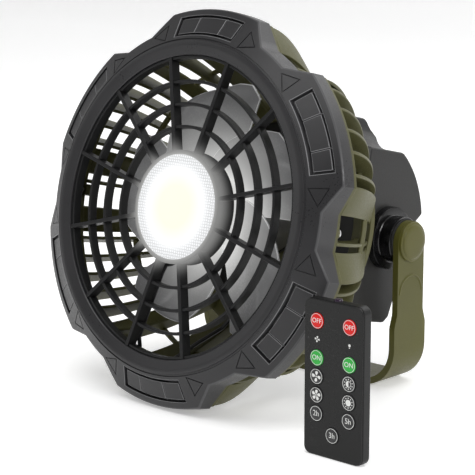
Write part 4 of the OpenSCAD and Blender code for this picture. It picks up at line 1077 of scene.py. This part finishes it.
# Inside the case ---------------------------------------------------------------------------
# Four wrapped cells stand in a trough on the case's floor. The boards are green glass fibre
# with black chips and switches, and the sockets are folded steel.
dress(moulded("cell_wrap", (0.03, 0.13, 0.3), rough=0.3, grain=0.05), "battery_cells")
dress(black_plastic, "cell_cradle")
dress(moulded("circuit_board", (0.012, 0.1, 0.04), rough=0.35, grain=0.1), "control_board",
      "power_board", "panel_board", "remote_board")
dress(bright_steel, "usb_sockets", "pivot_bolts")
dress(moulded("gauge_window", (0.55, 0.6, 0.57), rough=0.25, grain=0.02), "battery_gauge")

# Buttons and port cover --------------------------------------------------------------------
# Three round push buttons with dished tops, each on its own spring, and a soft rubber cover
# that turns on two studs at its lower edge and has a tab for the finger.
stem_r = 2 * mm
stem_top = -4 * mm
tab_hw, tab_out = 4 * mm, 1.4 * mm
rib_hw, rib_rise = 3 * mm, 0.3 * mm


def spun(line, steps=64):
    """A mesh turned about z from points of radius and height in millimetres."""
    mesh = bmesh.new()
    lathe(mesh, [(r * mm, z * mm) for r, z in line], steps)
    seal(mesh)
    return mesh


# A button's flange inside the case, its side and its dished top: radius and height, in
# millimetres.
button_line = [(0, -4.4), (8.6, -4.4), (8.6, -3), (7, -3), (7, 0.9), (6.7, 1.45), (6.1, 1.6),
               (5.2, 1.5), (3.5, 1.25), (0, 1.15)]
for name, body, stem_end in (("power_button", "power_button", -24 * mm),
                             ("fan_button", "fan_button", -8.2 * mm),
                             ("light_button", "light_button", -8.2 * mm)):
    knob_mesh = spun(button_line)
    rod(knob_mesh, Matrix.Identity(4), stem_r, stem_end, stem_top, 24)
    knob = shape(name + "_cap", knob_mesh, button_places[name], black_plastic)
    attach(knob, body)
    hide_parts(name)

rubber = moulded("rubber", (0.018, 0.018, 0.018), rough=0.75, grain=0.5)
flap_mesh = bmesh.new()
hinge_r = 1.3 * mm
block(flap_mesh, (-cover[0] / 2, -cover[1] / 2 + hinge_r, -cover[2] / 2 + move_gap),
      (cover[0] / 2, cover[1] / 2, cover[2] / 2 + move_gap))
soften(flap_mesh, 0.8 * mm, 3)
block(flap_mesh, (-tab_hw, cover[1] / 2 - 1 * mm, move_gap),
      (tab_hw, cover[1] / 2 + tab_out, move_gap + cover[2] / 2))
rod(flap_mesh, Matrix.Translation((0, hinge_r - cover[1] / 2, move_gap)) @ about("Y", 90, 4),
    hinge_r, -cover[0] / 2, cover[0] / 2, 32)
for x in (-13 * mm, 0, 13 * mm):
    block(flap_mesh, (x - rib_hw, -1 * mm, cover[2] / 2 + move_gap - 0.1 * mm),
          (x + rib_hw, -0.4 * mm, cover[2] / 2 + move_gap + rib_rise))
seal(flap_mesh, weld)
flap = shape("cover_flap", flap_mesh, on_back(port_z), rubber, rounding=0.3 * mm)
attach(flap, "port_cover")
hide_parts("port_cover")

# Pivots ------------------------------------------------------------------------------------
# On each side a stepped black boss stands on the case. A steel bolt, fixed in the stand's
# leg under an olive cap, turns in it against a friction washer.
stand_w = 158 * mm
stand_t = 4 * mm
pivot = Vector(joints["stand_tilt"]["pos_m"])
boss_end = stand_w / 2 - stand_t - move_gap - 1.2 * mm


def to_side(side):
    """Place on a pivot: z outwards along the pivots' line from the middle of the head."""
    return Matrix.Translation(pivot) @ about("Y", 90 * side, 4)


gloss_black = moulded("gloss_black", (0.004, 0.004, 0.0045), rough=0.2, grain=0.02, shine=0.35)
# The boss's two steps with its bore, and the cap's domed top: radius and distance out, in
# millimetres.
boss_line = [(4.05, 60), (18.3, 60), (19, 60.01), (19, 64.2), (18.7, 64.8), (18, 65),
             (14.6, 65), (14.05, 65.4), (14, 66), (14, boss_end / mm - 0.5),
             (13.5, boss_end / mm), (4.05, boss_end / mm), (4.05, 60)]
cap_line = [(0, 0), (12, 0), (12, 0.9), (11.75, 1.35), (11.2, 1.6), (10.6, 1.7), (10.1, 2.25),
            (9.3, 2.5), (7, 2.58), (0, 2.6)]
olive_metal = painted("olive_paint", (0.075, 0.072, 0.015), rough=0.4, grain=0.15)
olive_cap = painted("olive_cap", (0.076, 0.072, 0.015), rough=0.35)
for side, hand in ((-1, "left"), (1, "right")):
    boss = shape("boss_" + hand, spun(boss_line), to_side(side), gloss_black)
    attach(boss, "head")
    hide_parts("pivot_bosses")
    cap = shape("cap_" + hand, spun([(r, z + stand_w / 2 / mm) for r, z in cap_line]),
                to_side(side), olive_cap)
    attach(cap, "stand")
    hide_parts("pivot_caps")
dress(rubber, "friction_washers")

# Stand -------------------------------------------------------------------------------------
# A steel strip bent into a U and painted olive. Each leg is narrower above than at the foot,
# is round at the pivot, and has a raised arch pressed into it.
leg_w = 25 * mm
foot_w = 30 * mm
bend_r = 25 * mm
flare = (39 * mm, 46 * mm)
flare_run, flare_ease = 1.5 * mm, 0.15 * mm
arch_r = 10.5 * mm
arch_drop = 31 * mm
outer_hw = stand_w / 2

# Rows across the strip: where its middle lies and how far it reaches to either side, from the
# round end at the pivot down the leg and along the foot.
quarter = [math.radians(90 * i / 12) for i in range(13)]
leg_rows = [*[(pivot.z + leg_w / 2 * math.cos(a), leg_w / 2 * math.sin(a)) for a in quarter],
            (flare[1] + 8 * mm, leg_w / 2), (flare[1] + flare_run, leg_w / 2),
            (flare[1], leg_w / 2 + flare_ease),
            ((flare[0] + flare[1]) / 2, (leg_w + foot_w) / 4),
            (flare[0], foot_w / 2 - flare_ease), (flare[0] - flare_run, foot_w / 2),
            (bend_r, foot_w / 2)]
rows = [((outer_hw, z), w) for z, w in leg_rows]
rows += [((outer_hw - bend_r + bend_r * math.cos(a), bend_r - bend_r * math.sin(a)), foot_w / 2)
         for a in quarter[1:]]
rows += [((-x, z), w) for (x, z), w in reversed(rows)]
bracket_mesh = bmesh.new()
bmesh.ops.create_grid(bracket_mesh, x_segments=6, y_segments=len(rows) - 1, size=1)
for vert in bracket_mesh.verts:
    (x, z), w = rows[round((vert.co.y + 1) / 2 * (len(rows) - 1))]
    vert.co = Vector((x, vert.co.x * w, z))
bmesh.ops.remove_doubles(bracket_mesh, verts=bracket_mesh.verts, dist=weld)
face_out(bracket_mesh)
if max(bracket_mesh.faces, key=lambda f: f.calc_center_median().x).normal.x < 0:
    bmesh.ops.reverse_faces(bracket_mesh, faces=bracket_mesh.faces)
bmesh.ops.solidify(bracket_mesh, geom=bracket_mesh.faces[:], thickness=stand_t)
seal(bracket_mesh, weld)
bracket = shape("bracket", bracket_mesh, Matrix.Identity(4), olive_metal, rounding=0.7 * mm,
                segments=3)
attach(bracket, "stand")
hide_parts("stand_bracket")

# The pressed arch's section, out from its middle and up from the leg, in millimetres.
arch_line = [(-0.9, -0.3), (-0.75, 0.12), (-0.35, 0.42), (0, 0.5), (0.35, 0.42), (0.75, 0.12),
             (0.9, -0.3)]
for side, hand in ((-1, "left"), (1, "right")):
    arch_mesh = bmesh.new()
    bmesh.ops.spin(arch_mesh, geom=draw_line(arch_mesh, [
        Vector((arch_r + r * mm, 0, z * mm)) for r, z in arch_line], closed=True),
        axis=(0, 0, 1), cent=(0, 0, 0), angle=math.pi, steps=32, use_merge=False)
    bmesh.ops.holes_fill(arch_mesh, edges=[e for e in arch_mesh.edges if e.is_boundary])
    seal(arch_mesh, weld)
    arch = shape("arch_" + hand, arch_mesh, Matrix.Translation((0, 0, -arch_drop))
                 @ to_side(side) @ Matrix.Translation((0, 0, outer_hw))
                 @ about("Z", 90 * side, 4), olive_metal)
    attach(arch, "stand")
    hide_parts("stand_bracket")

# Remote ------------------------------------------------------------------------------------
# A card remote: a thin black ABS shell with a film on its face, eleven flat round keys, an
# infrared emitter in its top edge and a tray for its coin cell in its lower edge.
remote_w = 40 * mm
remote_h = 86 * mm
remote_t = 7 * mm
remote_corner = 4.5 * mm
face_t = 0.8 * mm
face_in = 0.3 * mm
key_r = 4.3 * mm
key_pitch = 22 * mm
key_rise = 0.5 * mm
row_top, row_on, row_step = 0.136 * remote_h, 0.37 * remote_h, 0.1186 * remote_h
tray_room = ((-12.3 * mm, -1 * mm, 1.1 * mm), (12.3 * mm, 23 * mm, 4.3 * mm))
emitter_z = 3.1 * mm
emitter_hole_r = 2.4 * mm
key_room = 0.15 * mm
remote_place = Matrix.Translation((134 * mm, -131 * mm, 0)) @ about("X", 90, 4)


def on_face(x, y, z=remote_t):
    """Place on the remote's face, x from its middle and y up from its lower edge."""
    return remote_place @ Matrix.Translation((x, y, z))


def card(mesh, inset, back, front):
    """The remote's outline with round corners, drawn in by an inset, between two depths."""
    half_w = remote_w / 2 - inset
    face = mesh.faces.new([mesh.verts.new((x, y, back)) for x, y in (
        (-half_w, inset), (half_w, inset), (half_w, remote_h - inset),
        (-half_w, remote_h - inset))])
    bmesh.ops.bevel(mesh, geom=face.verts[:], offset=remote_corner - inset, affect="VERTICES",
                    segments=8, profile=0.5, material=-1)
    pull_faces(mesh, mesh.faces[:], (0, 0, front - back))
    face_out(mesh)


remote_plastic = moulded("remote_plastic", (0.006, 0.006, 0.006), rough=0.4, grain=0.1,
                         shine=0.27)
shell_mesh = bmesh.new()
card(shell_mesh, 0, 0, remote_t - face_t)
soften(shell_mesh, 0.9 * mm, 4, angle=60)
shell = shape("remote_body", shell_mesh, remote_place, remote_plastic)
pocket = bmesh.new()
block(pocket, *tray_room)
pocket.transform(remote_place)
carve(shell, pocket)
socket = bmesh.new()
rod(socket, on_face(0, remote_h, emitter_z) @ about("X", 90, 4), emitter_hole_r, -2 * mm,
    4 * mm)
face_out(socket)
carve(shell, socket)
shade_evenly(shell)
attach(shell, "remote")
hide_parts("remote_shell")

keys = []
for side, names in ((-1, ("off_fan", "on_fan", "speed_low", "speed_high", "timer_2h")),
                    (1, ("off_light", "on_light", "dim", "bright", "timer_5h"))):
    for row, name in enumerate(names):
        y = remote_h - (row_top if row == 0 else row_on + (row - 1) * row_step)
        keys.append((name, side * key_pitch / 2, y))
keys.append(("timer_3h", 0, remote_h - row_on - 4 * row_step))

film = moulded("remote_film", (0.006, 0.0062, 0.006), rough=0.32, grain=0.02, shine=0.27)
film_mesh = bmesh.new()
card(film_mesh, face_in, remote_t - face_t, remote_t)
face_film = shape("face_film", film_mesh, remote_place, film, rounding=0.25 * mm)
key_holes = bmesh.new()
for name, x, y in keys:
    rod(key_holes, on_face(x, y), key_r + key_room, -2 * mm, 2 * mm)
face_out(key_holes)
carve(face_film, key_holes)
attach(face_film, "remote")
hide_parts("remote_face")

ink = moulded("white_ink", (0.75, 0.76, 0.74), rough=0.5, grain=0, spread=0.04)
key_tints = {"off": moulded("key_red", (0.7, 0.009, 0.007), rough=0.35, grain=0.05, shine=0.25),
             "on": moulded("key_green", (0.035, 0.42, 0.06), rough=0.35, grain=0.05, shine=0.25),
             "other": moulded("key_black", (0.013, 0.013, 0.014), rough=0.35, grain=0.05)}
print_t = 0.06 * mm


def disc(mesh, x, y, radius, stretch=1.0, clock=0.0, segments=24):
    """A flat disc, drawn out along its clock angle."""
    made = bmesh.ops.create_circle(mesh, cap_ends=True, radius=radius,
                                   segments=segments)["verts"]
    bmesh.ops.scale(mesh, vec=(1, stretch, 1), verts=made)
    bmesh.ops.translate(mesh, vec=(0, y, 0), verts=made)
    bmesh.ops.rotate(mesh, verts=made, matrix=about("Z", -clock))
    bmesh.ops.translate(mesh, vec=(x, 0, 0), verts=made)
    return made


def fan_sign(mesh, count, size):
    """A small fan: blades that widen outwards around a hub."""
    for i in range(count):
        petal = disc(mesh, 0, 0.62 * size, 0.3 * size, 1.25)
        for vert in petal:
            vert.co.x = vert.co.x * (0.35 + vert.co.y / size) + 0.12 * vert.co.y
        bmesh.ops.rotate(mesh, verts=petal, matrix=about("Z", 360 * i / count))
    disc(mesh, 0, 0, 0.14 * size)


def sun_sign(mesh, size, half_lit):
    """A small sun with a ring of dots; dimmed, only its left half is filled."""
    disc(mesh, 0, 0, 0.55 * size, segments=32)
    if half_lit:
        bmesh.ops.bisect_plane(mesh, geom=whole(mesh), plane_co=(0, 0, 0), plane_no=(1, 0, 0),
                               clear_outer=True)
        line = draw_line(mesh, [Vector((r * size, 0, 0)) for r in (0.47, 0.55)])
        bmesh.ops.rotate(mesh, verts=verts_in(line), matrix=about("Z", -90))
        bmesh.ops.spin(mesh, geom=line, axis=(0, 0, 1), cent=(0, 0, 0), angle=math.pi,
                       steps=20, use_merge=False)
    for i in range(10):
        disc(mesh, 0, 0.82 * size, 0.09 * size, 1.4, 36 * i, segments=10)


def letters(mesh, words, size):
    """Letters as flat shapes about the middle of their line."""
    line = bpy.data.curves.new("letters", "FONT")
    line.body = words
    line.size = size
    line.align_x = "CENTER"
    line.align_y = "CENTER"
    sign = put("letters", line)
    flat = as_mesh(sign)
    mesh.from_mesh(flat)
    bpy.data.objects.remove(sign)
    bpy.data.meshes.remove(flat)


def bulb_sign(mesh, size):
    """A small lamp bulb with two bars for its cap."""
    disc(mesh, 0, 0.25 * size, 0.5 * size, segments=28)
    for y in (-0.45, -0.68):
        bar = disc(mesh, 0, 0, 0.09 * size, segments=12)
        bmesh.ops.scale(mesh, vec=(2.6, 1, 1), verts=bar)
        bmesh.ops.translate(mesh, vec=(0, y * size, 0), verts=bar)


def printed(draw):
    """A thin print drawn by a function, its lower face at z = 0."""
    mesh = bmesh.new()
    draw(mesh)
    bmesh.ops.remove_doubles(mesh, verts=mesh.verts, dist=2 * weld)
    pull_faces(mesh, mesh.faces[:], (0, 0, print_t))
    face_out(mesh)
    return mesh


signs = {"off": lambda m: letters(m, "OFF", 3.6 * mm), "on": lambda m: letters(m, "ON", 3.8 * mm),
         "speed_low": lambda m: fan_sign(m, 4, 2.95 * mm),
         "speed_high": lambda m: fan_sign(m, 5, 2.95 * mm),
         "dim": lambda m: sun_sign(m, 3.2 * mm, True),
         "bright": lambda m: sun_sign(m, 3.2 * mm, False),
         "timer_2h": lambda m: letters(m, "2h", 4.3 * mm),
         "timer_5h": lambda m: letters(m, "5h", 4.3 * mm),
         "timer_3h": lambda m: letters(m, "3h", 4.3 * mm)}
# A key's side and top, and the white ring printed near its edge, in millimetres.
key_line = [(0, -1.4), (4.3, -1.4), (4.3, 0.3), (4.2, 0.45), (4.05, 0.5), (0, 0.52)]
band_line = [(3.75, 0.5), (4.0, 0.5), (4.0, 0.57), (3.75, 0.57), (3.75, 0.5)]
for name, x, y in keys:
    kind = name.split("_")[0]
    key = shape("button_" + name, spun(key_line), on_face(x, y),
                key_tints.get(kind, key_tints["other"]))
    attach(key, "key_" + name)
    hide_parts("key_" + name)
    legend = printed(signs.get(name, signs.get(kind)))
    legend.transform(Matrix.Translation((0, 0, key_rise + hair)))
    add_to(legend, spun(band_line))
    sign = shape("sign_" + name, legend, on_face(x, y), ink)
    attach(sign, "key_" + name)
for name, x, draw in (("fan", -key_pitch / 2, lambda m: fan_sign(m, 4, 1.7 * mm)),
                      ("light", key_pitch / 2, lambda m: bulb_sign(m, 1.6 * mm))):
    sign = shape("group_sign_" + name, printed(draw),
                 on_face(x, remote_h - (row_top + row_on) / 2, remote_t - hair / 2), ink)
    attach(sign, "remote")

dress(remote_plastic, "battery_tray")
dress(polished("coin_steel", (0.62, 0.62, 0.6), rough=0.28), "coin_cell")
dress(moulded("emitter_window", (0.02, 0.008, 0.025), rough=0.08, grain=0), "ir_emitter")
